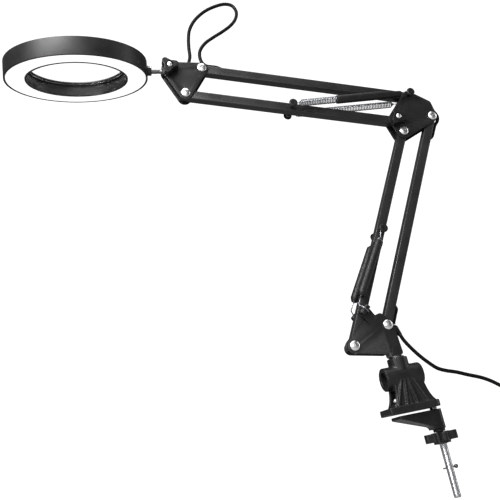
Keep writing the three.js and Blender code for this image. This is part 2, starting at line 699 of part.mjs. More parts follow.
function cords() {
  place("head_lead", cordAlong(HEAD_LEAD, CORD_R, 60), rubber);
  place("rear_tube_lead", cordAlong(REAR_LEAD, CORD_R, 8), rubber);
  place("elbow_lead", cordAlong(ELBOW_LEAD, CORD_R, 18), rubber);
  place("supply_cord", cordAlong(SUPPLY_CORD, CORD_R, 60), rubber);

  // Strain relief around the cord where it leaves the bracket.
  const run = [SUPPLY_CORD[2][0] - SUPPLY_CORD[1][0], SUPPLY_CORD[2][2] - SUPPLY_CORD[1][2]];
  const inner = CORD_R + GAP;
  const reliefShape = [[inner, 0], [inner + 1.1, 0], [inner + 0.4, 11], [inner, 11], [inner, 0]];
  const relief = turned(reliefShape, 14).rotateX(Math.PI / 2).rotateY(Math.atan2(run[0], run[1]));
  place("cord_relief", relief.translate(7.1, 0, 91.3), rubber);

  const [cx, cy] = COIL_CENTRE;
  const inside = COIL_R - COIL_COLUMNS * CORD_R;
  const outside = COIL_R + COIL_COLUMNS * CORD_R;
  const top = FLOOR + COIL_ROWS * 2 * CORD_R;
  const coil = [[inside, FLOOR], [outside, FLOOR], [outside, top], [inside, top], [inside, FLOOR]];
  place("supply_cord_coil", turnedZ(coil, cx, cy, 32), rubber);

  // Tie over the coil, open underneath.
  const tieW = 5;
  const tie = new THREE.Shape();
  const left = cx - outside - GAP;
  const right = cx - inside + GAP;
  tie.moveTo(left - 0.8, FLOOR);
  tie.lineTo(left - 0.8, top + GAP + 0.8);
  tie.lineTo(right + 0.8, top + GAP + 0.8);
  tie.lineTo(right + 0.8, FLOOR);
  tie.lineTo(right, FLOOR);
  tie.lineTo(right, top + GAP);
  tie.lineTo(left, top + GAP);
  tie.lineTo(left, FLOOR);
  tie.closePath();
  place("cord_tie", slab(tie, cy - tieW / 2, cy + tieW / 2), rubber);

  // Flat plug beside the coil, pointing along +Y.
  const plugX = cx + COIL_R + (COIL_COLUMNS - 1) * CORD_R;
  const plugZ = FLOOR + 4.8;
  const neck = turned([[0, 18], [2.4, 18], [3.6, 27], [0, 27]], 14).translate(plugX, 0, plugZ);
  const grip = box(16, 22, 8.8, plugX, cy + 36, plugZ);
  const pocket = box(12.6, 6, 5.1, plugX, cy + 46, plugZ);
  place("plug_body", cut(join(solid(neck.translate(0, cy, 0)), solid(grip)), solid(pocket)), rubber);
  place("plug_shell", box(12, 15.5, 4.5, plugX, cy + 51.3, plugZ), steel);
}

clampBody();
clampScrew();
clampJaw();
clampKnob();
baseBracket();
lowerArm();
elbow();
upperArm();
headBracket();
head();
cords();

export default lamp;
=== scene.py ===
"""Magnifying lamp on a sprung swing arm: finished surfaces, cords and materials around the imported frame."""
import json
import math

import bmesh
import bpy
from mathutils import Matrix, Vector


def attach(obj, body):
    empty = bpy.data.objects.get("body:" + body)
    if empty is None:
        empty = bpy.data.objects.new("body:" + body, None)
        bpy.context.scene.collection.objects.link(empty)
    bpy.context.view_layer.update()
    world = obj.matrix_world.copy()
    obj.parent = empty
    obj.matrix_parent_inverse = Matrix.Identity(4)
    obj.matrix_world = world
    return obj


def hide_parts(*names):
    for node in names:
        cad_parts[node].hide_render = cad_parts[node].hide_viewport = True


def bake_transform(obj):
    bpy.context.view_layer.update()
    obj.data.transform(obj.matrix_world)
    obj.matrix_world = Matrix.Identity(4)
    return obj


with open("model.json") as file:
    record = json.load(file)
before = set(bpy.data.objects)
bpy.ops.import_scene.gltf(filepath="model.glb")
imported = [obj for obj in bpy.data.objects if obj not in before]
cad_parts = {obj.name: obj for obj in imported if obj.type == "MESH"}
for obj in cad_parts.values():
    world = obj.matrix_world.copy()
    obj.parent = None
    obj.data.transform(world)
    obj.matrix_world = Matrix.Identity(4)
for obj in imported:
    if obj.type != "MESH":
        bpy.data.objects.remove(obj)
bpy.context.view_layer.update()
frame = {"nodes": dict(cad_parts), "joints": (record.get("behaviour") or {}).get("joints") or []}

MM = 0.001
JOINT = {j["name"]: j for j in frame["joints"]}


def pivot(name):
    """A joint's place, in millimetres as all sizes here."""
    return Vector(JOINT[name]["pos_m"]) / MM


BASE_FRONT = pivot("lower_swing")
BASE_REAR = pivot("lower_rear_swing")
ELBOW_FRONT = pivot("elbow_level")
ELBOW_REAR = ELBOW_FRONT + BASE_REAR - BASE_FRONT
ELBOW_LOW = pivot("upper_swing")
ELBOW_TOP = pivot("upper_top_swing")
HEAD_TOP = pivot("head_level")
HEAD_LOW = ELBOW_LOW + HEAD_TOP - ELBOW_TOP
HEAD_PIVOT = pivot("head_tilt")
ROD_BACK = -Vector(JOINT["ring_roll"]["axis"])  # along the head rod, away from the ring

TUBE = 10.7
TUBE_OVERHANG = 6.0
PLATE = 1.2
PLATE_IN = 5.65
PLATE_OUT = 6.85
GAP = 0.3
FLOOR = -92.0
CORD_R = 2.05
SPRING_PLANE = 12.5
LOWER_PIN_AT, UPPER_PIN_AT = 0.504, 0.507  # how far along the arm section a spring pin stands
SCREW_X = 25.4  # clamp screw's axis
STOP_PIN_Z = -62.0
BARREL_Z = 37.0
QUARTER_TURN = math.pi / 2
ABOUT_Y = Matrix.Rotation(QUARTER_TURN, 4, "Y")  # +Z goes to +X


# ---------------------------------------------------------------- camera

VIEW_PLACE = Vector((-0.3071, -0.7087, -0.0252))
VIEW_RIGHT = Vector((0.9644, -0.1723, -0.2006))
VIEW_UP = Vector((0.1351, -0.3313, 0.9338))


def make_camera():
    data = bpy.data.cameras.new("camera")
    data.lens = 50.4
    data.sensor_width = 36.0
    data.clip_start = 0.01
    camera = bpy.data.objects.new("camera", data)
    back = VIEW_RIGHT.cross(VIEW_UP).normalized()
    up = back.cross(VIEW_RIGHT).normalized()
    turn = Matrix((VIEW_RIGHT.normalized(), up, back)).transposed()
    camera.matrix_world = Matrix.Translation(VIEW_PLACE) @ turn.to_4x4()
    bpy.context.scene.collection.objects.link(camera)
    bpy.context.scene.camera = camera


make_camera()

# ---------------------------------------------------------------- shader groups


def group(name, inputs, outputs):
    tree = bpy.data.node_groups.new(name, "ShaderNodeTree")
    for label, kind, value in inputs:
        socket = tree.interface.new_socket(label, in_out="INPUT", socket_type=kind)
        if value is not None:
            socket.default_value = value
    for label, kind in outputs:
        tree.interface.new_socket(label, in_out="OUTPUT", socket_type=kind)
    return tree, tree.nodes.new("NodeGroupInput"), tree.nodes.new("NodeGroupOutput")


FLOAT, VECTOR = "NodeSocketFloat", "NodeSocketVector"


def feed(tree, value, socket):
    """Link a socket's output into socket, or set a plain number on it."""
    if hasattr(value, "is_linked"):
        tree.links.new(value, socket)
    else:
        socket.default_value = value


def noise(tree, vector, scale, detail=3.0, rough=0.5):
    node = tree.nodes.new("ShaderNodeTexNoise")
    node.inputs["Detail"].default_value = detail
    node.inputs["Roughness"].default_value = rough
    tree.links.new(vector, node.inputs["Vector"])
    feed(tree, scale, node.inputs["Scale"])
    return node.outputs["Fac"]


def ranged(tree, value, low, high, to_low, to_high):
    node = tree.nodes.new("ShaderNodeMapRange")
    tree.links.new(value, node.inputs["Value"])
    limits = (("From Min", low), ("From Max", high), ("To Min", to_low), ("To Max", to_high))
    for label, number in limits:
        feed(tree, number, node.inputs[label])
    return node.outputs["Result"]


def math_node(tree, operation, *values):
    node = tree.nodes.new("ShaderNodeMath")
    node.operation = operation
    for socket, value in zip(node.inputs, values):
        feed(tree, value, socket)
    return node.outputs[0]


def make_grain():
    """Fine moulded or sprayed grain: a height for bump."""
    inputs = [("Vector", VECTOR, None), ("Scale", FLOAT, 2500.0)]
    tree, given, out = group("surface_grain", inputs, [("Height", FLOAT)])
    vector, scale = given.outputs["Vector"], given.outputs["Scale"]
    fine = noise(tree, vector, scale, 2.0, 0.6)
    wide = noise(tree, vector, math_node(tree, "MULTIPLY", scale, 0.22), 2.0)
    height = math_node(tree, "ADD", fine, math_node(tree, "MULTIPLY", wide, 0.8))
    tree.links.new(height, out.inputs["Height"])
    return tree


def make_handling():
    """Uneven gloss and tone from handling and dust: a slow mask, 0 to 1."""
    inputs = [("Vector", VECTOR, None), ("Scale", FLOAT, 60.0)]
    tree, given, out = group("handling", inputs, [("Mask", FLOAT)])
    slow = noise(tree, given.outputs["Vector"], given.outputs["Scale"], 5.0, 0.62)
    tree.links.new(ranged(tree, slow, 0.3, 0.7, 0.0, 1.0), out.inputs["Mask"])
    return tree


def make_edge_rub():
    """Where paint or plating is rubbed on convex edges, broken up by noise."""
    inputs = [("Vector", VECTOR, None), ("Low", FLOAT, 0.53), ("High", FLOAT, 0.62)]
    tree, given, out = group("edge_rub", inputs, [("Mask", FLOAT)])
    shape = tree.nodes.new("ShaderNodeNewGeometry")
    edge = ranged(tree, shape.outputs["Pointiness"], given.outputs["Low"], given.outputs["High"], 0.0, 1.0)
    broken = ranged(tree, noise(tree, given.outputs["Vector"], 900.0, 4.0), 0.35, 0.65, 0.25, 1.0)
    tree.links.new(math_node(tree, "MULTIPLY", edge, broken), out.inputs["Mask"])
    return tree


GRAIN = make_grain()
HANDLING = make_handling()
EDGE_RUB = make_edge_rub()

# ---------------------------------------------------------------- materials


class Finish:
    """One material: its Principled shader, with short ways to drive colour, roughness and bump."""

    def __init__(self, name, color, roughness, metallic=0.0, uv=False, **constants):
        self.material = bpy.data.materials.new(name)
        self.material.use_nodes = True
        self.tree = self.material.node_tree
        self.shader = self.tree.nodes["Principled BSDF"]
        self.shader.inputs["Base Color"].default_value = (*color, 1.0)
        self.shader.inputs["Roughness"].default_value = roughness
        self.shader.inputs["Metallic"].default_value = metallic
        for label, value in constants.items():
            self.shader.inputs[label.replace("_", " ").title().replace("Ior", "IOR")].default_value = value
        coordinates = self.tree.nodes.new("ShaderNodeTexCoord")
        self.vector = coordinates.outputs["UV" if uv else "Object"]

    def use(self, tree, **values):
        node = self.tree.nodes.new("ShaderNodeGroup")
        node.node_tree = tree
        self.tree.links.new(self.vector, node.inputs["Vector"])
        for label, value in values.items():
            node.inputs[label].default_value = value
        return node.outputs[0]

    def tint(self, mask, low, high, onto=None):
        """Base Color between two colours by mask; onto is a colour socket that stands for low."""
        mix = self.tree.nodes.new("ShaderNodeMix")
        mix.data_type = "RGBA"
        self.tree.links.new(mask, mix.inputs[0])
        if onto is None:
            mix.inputs[6].default_value = (*low, 1.0)
        else:
            self.tree.links.new(onto, mix.inputs[6])
        mix.inputs[7].default_value = (*high, 1.0)
        self.tree.links.new(mix.outputs[2], self.shader.inputs["Base Color"])
        return mix.outputs[2]

    def gloss(self, mask, low, high):
        self.tree.links.new(ranged(self.tree, mask, 0.0, 1.0, low, high), self.shader.inputs["Roughness"])

    def bump(self, height, strength, distance):
        node = self.tree.nodes.new("ShaderNodeBump")
        node.inputs["Strength"].default_value = strength
        node.inputs["Distance"].default_value = distance
        self.tree.links.new(height, node.inputs["Height"])
        self.tree.links.new(node.outputs["Normal"], self.shader.inputs["Normal"])


def powder_coat(name, tone, rough_low, rough_high, grain=1500.0):
    coat = Finish(name, (tone, tone, tone * 1.03), rough_low, specular_ior_level=0.4)
    worn = coat.use(HANDLING, Scale=45.0)
    base = coat.tint(worn, (tone * 0.85,) * 3, (tone * 1.3, tone * 1.3, tone * 1.34))
    rub = coat.use(EDGE_RUB, Low=0.54, High=0.66)
    coat.tint(rub, None, (0.05, 0.05, 0.052), onto=base)
    coat.gloss(worn, rough_low, rough_high)
    coat.bump(coat.use(GRAIN, Scale=grain), 0.22, 0.00006)
    return coat.material


def moulded(name, tone, rough_low, rough_high, grain=2600.0, strength=0.35):
    shell = Finish(name, (tone, tone, tone * 1.02), rough_low, specular_ior_level=0.4)
    worn = shell.use(HANDLING, Scale=70.0)
    shell.tint(worn, (tone * 0.85,) * 3, (tone * 1.35, tone * 1.35, tone * 1.38))
    shell.gloss(worn, rough_low, rough_high)
    shell.bump(shell.use(GRAIN, Scale=grain), strength, 0.00008)
    return shell.material


def plated(name, color, rough_low, rough_high, scratch=0.15):
    metal = Finish(name, color, rough_low, metallic=1.0)
    worn = metal.use(HANDLING, Scale=160.0)
    metal.tint(worn, tuple(c * 0.82 for c in color), color)
    metal.gloss(worn, rough_low, rough_high)
    metal.bump(metal.use(GRAIN, Scale=1400.0), scratch, 0.00003)
    return metal.material


def lens_glass():
    glass = Finish("lens_glass", (0.99, 0.995, 1.0), 0.01, transmission_weight=1.0, ior=1.12)
    glass.gloss(glass.use(HANDLING, Scale=25.0), 0.004, 0.02)
    return glass.material


def opal_diffuser():
    opal = Finish("opal_diffuser", (0.93, 0.935, 0.94), 0.35, emission_strength=0.8)
    frost = opal.use(HANDLING, Scale=30.0)
    opal.tint(frost, (0.9, 0.905, 0.91), (0.96, 0.965, 0.97))
    opal.shader.inputs["Emission Color"].default_value = (1.0, 0.99, 0.975, 1.0)
    opal.bump(opal.use(GRAIN, Scale=1200.0), 0.12, 0.00004)
    return opal.material


def cord_jacket(name, tone):
    """Soft cord jacket: plain, with faint drawn lines along the cord, from its own UV map."""
    jacket = Finish(name, (tone, tone, tone * 1.04), 0.5, uv=True, specular_ior_level=0.12)
    wave = jacket.tree.nodes.new("ShaderNodeTexWave")
    wave.wave_type = "BANDS"
    wave.bands_direction = "Y"
    wave.inputs["Scale"].default_value = 5.0
    jacket.tree.links.new(jacket.vector, wave.inputs["Vector"])
    jacket.gloss(wave.outputs["Fac"], 0.47, 0.55)
    jacket.bump(wave.outputs["Fac"], 0.05, 0.00004)
    return jacket.material


def woven_tie():
    """Hook-and-loop strap: short looped pile."""
    strap = Finish("hook_and_loop", (0.02, 0.02, 0.021), 0.85, sheen_weight=0.4)
    cells = strap.tree.nodes.new("ShaderNodeTexVoronoi")
    cells.inputs["Scale"].default_value = 1900.0
    strap.tree.links.new(strap.vector, cells.inputs["Vector"])
    strap.tint(cells.outputs["Distance"], (0.012, 0.012, 0.013), (0.05, 0.05, 0.052))
    strap.bump(cells.outputs["Distance"], 0.6, 0.0002)
    return strap.material


def circuit_board():
    """Matt white board, faintly uneven."""
    board = Finish("led_board", (0.85, 0.85, 0.82), 0.5)
    mask = board.use(HANDLING, Scale=900.0)
    board.tint(mask, (0.82, 0.82, 0.79), (0.9, 0.9, 0.88))
    return board.material


TUBE_PAINT = powder_coat("tube_paint", 0.014, 0.28, 0.38)
PLATE_PAINT = powder_coat("plate_paint", 0.010, 0.30, 0.42)
CAST_BLACK = moulded("clamp_casting", 0.008, 0.32, 0.46, 1500.0, 0.45)
KNOB_BLACK = moulded("knob_plastic", 0.007, 0.32, 0.46)
HOUSING_BLACK = moulded("ring_plastic", 0.008, 0.40, 0.5, 3200.0, 0.12)
PIN_BLACK = moulded("pin_plastic", 0.006, 0.4, 0.5)
SLEEVE_BLACK = moulded("sleeve_rubber", 0.004, 0.42, 0.55, 1800.0, 0.3)
CHROME = plated("chrome_plate", (0.97, 0.97, 0.98), 0.26, 0.36, 0.05)
ZINC = plated("zinc_plate", (0.66, 0.67, 0.69), 0.2, 0.34)
SPRING_STEEL = plated("spring_steel", (0.3, 0.31, 0.33), 0.22, 0.34, 0.06)
DARK_STEEL = plated("blackened_steel", (0.16, 0.16, 0.165), 0.28, 0.42)
CORD_BLACK = cord_jacket("cord_jacket", 0.004)
LENS = lens_glass()
OPAL = opal_diffuser()
BOARD = circuit_board()
STRAP = woven_tie()

# ---------------------------------------------------------------- mesh helpers


def rings_mesh(rings):
    """Skin a list of equal rings of points, with one flat face over each end."""
    bm = bmesh.new()
    rows = [[bm.verts.new(p) for p in ring] for ring in rings]
    n = len(rows[0])
    for a, b in zip(rows, rows[1:]):
        for i in range(n):
            k = (i + 1) % n
            bm.faces.new((a[i], a[k], b[k], b[i]))
    bm.faces.new(rows[0][::-1])
    bm.faces.new(rows[-1])
    return bm


def lathe(profile, segments=48, loop=False):
    """Turn (radius, height) pairs about Z. A radius of 0 closes to a pole; loop joins last to first."""
    bm = bmesh.new()
    rows = []
    for r, z in profile:
        if r < 1e-9:
            rows.append([bm.verts.new((0.0, 0.0, z))])
        else:
            turn = [2 * math.pi * i / segments for i in range(segments)]
            rows.append([bm.verts.new((r * math.cos(a), r * math.sin(a), z)) for a in turn])
    pairs = list(zip(rows, rows[1:]))
    if loop:
        pairs.append((rows[-1], rows[0]))
    for a, b in pairs:
        for i in range(segments):
            k = (i + 1) % segments
            corners = [a[i % len(a)], a[k % len(a)], b[k % len(b)], b[i % len(b)]]
            unique = [v for j, v in enumerate(corners) if v not in corners[:j]]
            if len(unique) > 2:
                bm.faces.new(unique)
    return bm


def prism(outline, low, high):
    """Outline points (x, z) made a slab between two y values."""
    return rings_mesh([[(x, low, z) for x, z in outline], [(x, high, z) for x, z in outline]])


def flat_prism(outline, low, high):
    """Outline points (x, y) made a slab between two z values."""
    return rings_mesh([[(x, y, low) for x, y in outline], [(x, y, high) for x, y in outline]])


def hull_outline(circles, step=math.radians(9)):
    """Points round a counter-clockwise loop of circles (x, y, r) joined by their outer tangents."""
    points = []
    count = len(circles)

    def leave(a, b):
        along = math.atan2(b[1] - a[1], b[0] - a[0])
        return along - math.acos((a[2] - b[2]) / math.hypot(b[0] - a[0], b[1] - a[1]))

    for i, (x, y, r) in enumerate(circles):
        first = leave(circles[i - 1], circles[i])
        last = leave(circles[i], circles[(i + 1) % count])
        while last < first:
            last += 2 * math.pi
        pieces = max(1, round((last - first) / step))
        for k in range(pieces + 1):
            a = first + (last - first) * k / pieces
            points.append((x + r * math.cos(a), y + r * math.sin(a)))
    return points


def smooth_path(points, per_span=8):
    """Centripetal curve through the points, as a dense list."""
    points = [Vector(p) for p in points]
    ends = [2 * points[0] - points[1]] + points + [2 * points[-1] - points[-2]]
    out = []
    for i in range(1, len(ends) - 2):
        p0, p1, p2, p3 = ends[i - 1 : i + 3]
        t0 = 0.0
        t1 = t0 + max((p1 - p0).length, 1e-9) ** 0.5
        t2 = t1 + max((p2 - p1).length, 1e-9) ** 0.5
        t3 = t2 + max((p3 - p2).length, 1e-9) ** 0.5
        for k in range(per_span):
            t = t1 + (t2 - t1) * k / per_span
            a1 = (t1 - t) / (t1 - t0) * p0 + (t - t0) / (t1 - t0) * p1
            a2 = (t2 - t) / (t2 - t1) * p1 + (t - t1) / (t2 - t1) * p2
            a3 = (t3 - t) / (t3 - t2) * p2 + (t - t2) / (t3 - t2) * p3
            b1 = (t2 - t) / (t2 - t0) * a1 + (t - t0) / (t2 - t0) * a2
            b2 = (t3 - t) / (t3 - t1) * a2 + (t - t1) / (t3 - t1) * a3
            out.append((t2 - t) / (t2 - t1) * b1 + (t - t1) / (t2 - t1) * b2)
    out.append(ends[-2])
    return out


def tube_mesh(points, radius, sides, start_up=Vector((0, 1, 0.01))):
    """Round tube along points, with a UV map: u round the tube, v along it in tube widths."""
    tangents = []
    for i in range(len(points)):
        a = points[max(i - 1, 0)]
        b = points[min(i + 1, len(points) - 1)]
        tangents.append((b - a).normalized())
    normal = (start_up - start_up.dot(tangents[0]) * tangents[0]).normalized()
    rings, lengths, run = [], [], 0.0
    for i, (p, t) in enumerate(zip(points, tangents)):
        if i:
            run += (p - points[i - 1]).length
            normal = (normal - normal.dot(t) * t).normalized()
        side = t.cross(normal)
        turn = [2 * math.pi * k / sides for k in range(sides)]
        rings.append([p + radius * (math.cos(a) * normal + math.sin(a) * side) for a in turn])
        lengths.append(run)
    bm = rings_mesh(rings)
    uv = bm.loops.layers.uv.new("UVMap")
    width = 2 * radius
    bm.verts.index_update()
    for face in bm.faces:
        for loop in face.loops:
            row, k = divmod(loop.vert.index, sides)
            u = k / sides
            if u == 0 and any(near.vert.index % sides == sides - 1 for near in face.loops):
                u = 1.0
            loop[uv].uv = (u, lengths[row] / width)
    return bm


def soften(bm, angle=35.0):
    limit = math.radians(angle)
    for face in bm.faces:
        face.smooth = True
    for edge in bm.edges:
        edge.smooth = len(edge.link_faces) == 2 and edge.calc_face_angle(0.0) < limit


def move(bm, matrix):
    bmesh.ops.transform(bm, matrix=matrix, verts=bm.verts)
    return bm


def to_object(name, bm, recalc=True):
    """The mesh as an object, from millimetres to the frame's metres."""
    if recalc:
        bmesh.ops.remove_doubles(bm, verts=bm.verts, dist=1e-4)
        bmesh.ops.recalc_face_normals(bm, faces=bm.faces)
    bmesh.ops.scale(bm, vec=(MM, MM, MM), verts=bm.verts)
    mesh = bpy.data.meshes.new(name)
    bm.to_mesh(mesh)
    bm.free()
    piece = bpy.data.objects.new(name, mesh)
    bpy.context.scene.collection.objects.link(piece)
    return piece


def settle(piece):
    """Apply the piece's modifiers, leaving a plain mesh."""
    graph = bpy.context.evaluated_depsgraph_get()
    mesh = bpy.data.meshes.new_from_object(piece.evaluated_get(graph))
    piece.modifiers.clear()
    old = piece.data
    piece.data = mesh
    bpy.data.meshes.remove(old)
    return piece


def bevel(piece, width, segments=3, angle=30.0):
    modifier = piece.modifiers.new("edge_round", "BEVEL")
    modifier.width = width * MM
    modifier.segments = segments
    modifier.limit_method = "ANGLE"
    modifier.angle_limit = math.radians(angle)
    return settle(piece)


def combined(piece, other, operation):
    """One Boolean with another closed piece, which is used up."""
    modifier = piece.modifiers.new("combine", "BOOLEAN")
    modifier.operation = operation
    modifier.solver = "EXACT"
    modifier.object = other
    settle(piece)
    bpy.data.objects.remove(other)
    return piece


def shade(piece, angle=35.0):
    bm = bmesh.new()
    bm.from_mesh(piece.data)
    soften(bm, angle)
    bm.to_mesh(piece.data)
    bm.free()
    return piece


def merged(name, pieces):
    """Several meshes made one piece."""
    bm = bmesh.new()
    for piece in pieces:
        bm.from_mesh(piece.data)
        bpy.data.objects.remove(piece)
    bmesh.ops.scale(bm, vec=(1 / MM, 1 / MM, 1 / MM), verts=bm.verts)
    return to_object(name, bm, recalc=False)


def placed(piece, matrix):
    """Move a finished piece's mesh by a matrix in millimetres."""
    for step in (Matrix.Scale(1 / MM, 4), matrix, Matrix.Scale(MM, 4)):
        piece.data.transform(step)
    return piece


def fit_out(piece, material, body, nodes=(), angle=35.0):
    """Give a finished piece its material and body, and hide the CAD nodes it stands for."""
    piece.data.materials.clear()
    piece.data.materials.append(material)
    shade(piece, angle)
    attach(piece, body)
    if nodes:
        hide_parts(*nodes)
    return piece


TURN_TO_FRONT = Matrix.Rotation(QUARTER_TURN, 4, "X")  # +Z goes to -Y


def across(x, z):
    """Matrix for a piece turned about Z that stands across the arm at (x, z), its +Z end in front."""
    return Matrix.Translation((x, 0, z)) @ TURN_TO_FRONT


def along(origin, direction, y=0.0):
    """Matrix for a piece that stands on Z: Z goes along direction, which lies in x and z."""
    lean = math.atan2(direction.x, direction.z)
    return Matrix.Translation((origin.x, y, origin.z)) @ Matrix.Rotation(lean, 4, "Y")


def cylinder(radius, low, high, segments=48):
    return lathe([(0, low), (radius, low), (radius, high), (0, high)], segments)


def block(x0, x1, y0, y1, z0, z1):
    return flat_prism([(x0, y0), (x1, y0), (x1, y1), (x0, y1)], z0, z1)


def united(name, piece, *others):
    """Overlapping closed pieces as one body."""
    for other in others:
        combined(piece, other, "UNION")
    piece.name = name
    return piece


def bored(piece, *cutters):
    for cutter in cutters:
        combined(piece, to_object("cutter", cutter), "DIFFERENCE")
    return piece


def cad_copy(name, node):
    """The CAD solid as one joined mesh, to round and detail."""
    bm = bmesh.new()
    bm.from_mesh(frame["nodes"][node].data)
    bmesh.ops.remove_doubles(bm, verts=bm.verts, dist=1e-6)
    bmesh.ops.scale(bm, vec=(1 / MM, 1 / MM, 1 / MM), verts=bm.verts)
    return to_object(name, bm)


def cast_edges(piece, voxel, passes):
    """Round every edge as a casting or moulding has them."""
    remesh = piece.modifiers.new("even_mesh", "REMESH")
    remesh.mode = "VOXEL"
    remesh.voxel_size = voxel * MM
    smooth = piece.modifiers.new("soft_edges", "SMOOTH")
    smooth.factor = 0.5
    smooth.iterations = passes
    return settle(piece)


# ---------------------------------------------------------------- repeated pieces, as node trees


def node_input(tree, label, kind, value):
    socket = tree.interface.new_socket(label, in_out="INPUT", socket_type=kind)
    if value is not None:
        socket.default_value = value
    return socket.identifier


def wire_tree():
    """Round wire along the edges of a mesh: springs and their hooks."""
    tree = bpy.data.node_groups.new("wire_on_path", "GeometryNodeTree")
    tree.interface.new_socket("Geometry", in_out="INPUT", socket_type="NodeSocketGeometry")
    keys = {
        "radius": node_input(tree, "Wire Radius", "NodeSocketFloat", 0.00055),
        "sides": node_input(tree, "Sides", "NodeSocketInt", 8),
        "material": node_input(tree, "Material", "NodeSocketMaterial", None),
    }
    tree.interface.new_socket("Geometry", in_out="OUTPUT", socket_type="NodeSocketGeometry")
    add, link = tree.nodes.new, tree.links.new
    given, out = add("NodeGroupInput"), add("NodeGroupOutput")
    path, sweep = add("GeometryNodeMeshToCurve"), add("GeometryNodeCurveToMesh")
    section = add("GeometryNodeCurvePrimitiveCircle")
    realize, paint = add("GeometryNodeRealizeInstances"), add("GeometryNodeSetMaterial")
    sweep.inputs["Fill Caps"].default_value = True
    link(given.outputs["Geometry"], path.inputs["Mesh"])
    link(given.outputs["Wire Radius"], section.inputs["Radius"])
    link(given.outputs["Sides"], section.inputs["Resolution"])
    link(path.outputs["Curve"], sweep.inputs["Curve"])
    link(section.outputs["Curve"], sweep.inputs["Profile Curve"])
    link(sweep.outputs["Mesh"], realize.inputs["Geometry"])
    link(realize.outputs["Geometry"], paint.inputs["Geometry"])
    link(given.outputs["Material"], paint.inputs["Material"])
    link(paint.outputs["Geometry"], out.inputs["Geometry"])
    return tree, keys


def copies_tree():
    """A copy of one fastener on each point, each turned by a random angle about the pivots' axis."""
    tree = bpy.data.node_groups.new("fastener_on_points", "GeometryNodeTree")
    tree.interface.new_socket("Geometry", in_out="INPUT", socket_type="NodeSocketGeometry")
    keys = {
        "object": node_input(tree, "Fastener", "NodeSocketObject", None),
        "spread": node_input(tree, "Turn Spread", "NodeSocketFloat", 3.1),
        "seed": node_input(tree, "Seed", "NodeSocketInt", 3),
        "material": node_input(tree, "Material", "NodeSocketMaterial", None),
    }
    tree.interface.new_socket("Geometry", in_out="OUTPUT", socket_type="NodeSocketGeometry")
    add, link = tree.nodes.new, tree.links.new
    given, out = add("NodeGroupInput"), add("NodeGroupOutput")
    points, info = add("GeometryNodeMeshToPoints"), add("GeometryNodeObjectInfo")
    copy = add("GeometryNodeInstanceOnPoints")
    turn, angle = add("ShaderNodeCombineXYZ"), add("FunctionNodeRandomValue")
    realize, paint = add("GeometryNodeRealizeInstances"), add("GeometryNodeSetMaterial")
    low = add("ShaderNodeMath")
    low.operation = "MULTIPLY"
    low.inputs[1].default_value = -1.0
    angle.data_type = "FLOAT"
    link(given.outputs["Geometry"], points.inputs["Mesh"])
    link(points.outputs["Points"], copy.inputs["Points"])
    link(given.outputs["Fastener"], info.inputs["Object"])
    link(info.outputs["Geometry"], copy.inputs["Instance"])
    link(given.outputs["Turn Spread"], low.inputs[0])
    link(low.outputs[0], angle.inputs[2])
    link(given.outputs["Turn Spread"], angle.inputs[3])
    link(given.outputs["Seed"], angle.inputs["Seed"])
    link(angle.outputs[1], turn.inputs["Y"])
    link(turn.outputs["Vector"], copy.inputs["Rotation"])
    link(copy.outputs["Instances"], realize.inputs["Geometry"])
    link(realize.outputs["Geometry"], paint.inputs["Geometry"])
    link(given.outputs["Material"], paint.inputs["Material"])
    link(paint.outputs["Geometry"], out.inputs["Geometry"])
    return tree, keys


WIRE_TREE, WIRE_KEYS = wire_tree()
COPIES_TREE, COPIES_KEYS = copies_tree()


def grow(piece, tree, keys, **values):
    modifier = piece.modifiers.new("grow", "NODES")
    modifier.node_group = tree
    for label, value in values.items():
        modifier[keys[label]] = value
    return settle(piece)


def bare_points(name, points, edges=()):
    """Points in millimetres, and edges between them, for a node tree to grow a piece on."""
    mesh = bpy.data.meshes.new(name)
    mesh.from_pydata([Vector(p) * MM for p in points], edges, [])
    piece = bpy.data.objects.new(name, mesh)
    bpy.context.scene.collection.objects.link(piece)
    return piece


def wire(name, points, radius, material, sides=8):
    """A round wire through points in millimetres."""
    piece = bare_points(name, points, [(i, i + 1) for i in range(len(points) - 1)])
    return grow(piece, WIRE_TREE, WIRE_KEYS, radius=radius * MM, sides=sides, material=material)


def copies(name, places, template, material, body, nodes, spread, seed):
    """One of the template on each place, each turned a little at random."""
    piece = bare_points(name, [(p.x, 0, p.z) for p in places])
    grow(piece, COPIES_TREE, COPIES_KEYS, object=template, spread=spread, seed=seed, material=material)
    return fit_out(piece, material, body, nodes)


# ---------------------------------------------------------------- cords

HEAD_LEAD = [
    (-159.2, 0, 438), (-158.6, 0, 442), (-155.8, 0, 450.1), (-154.8, 0, 462.8), (-152.9, 0, 475.7),
    (-149.8, 0, 487.2), (-141.9, 0, 499.9), (-127.6, 0, 512.3), (-112.1, 0, 519.5), (-98.7, 0, 522),
    (-90.3, 0, 518.8), (-86.9, 0, 509.5), (-90.3, 0, 499), (-98.5, 0, 490), (-110.4, 0, 482),
    (-123.1, 0, 474.8), (-134.7, 0, 467), (-142.1, 0, 457.5), (-144, 0, 449.1), (-142.6, 0, 441),
    (-138.5, 0, 436.2), (-132.4, 0, 434.5), (-126.3, 0, 432.9), (-121.3, 0, 429.8), (-117, 0, 425.9),
    (-113.5, 0, 423.4),
]
REAR_LEAD = [
    (12.1, 0, 116.5), (14.6, 0, 110.3), (12.5, 0, 105.9), (9.2, 0, 99.4), (7.6, 0, 96.4), (7, 0, 94.4),
]
ELBOW_LEAD = [
    (112.5, 0, 308.2), (116.1, 0, 310.2), (120.2, 0, 312.8), (124.4, 0, 320), (128.6, 0, 327.3),
    (133.6, 0, 332.9), (135.4, 0, 338.4), (132.7, 0, 346.1), (126.8, 0, 351.9), (120.2, 0, 356),
    (114, 0, 359.8),
]
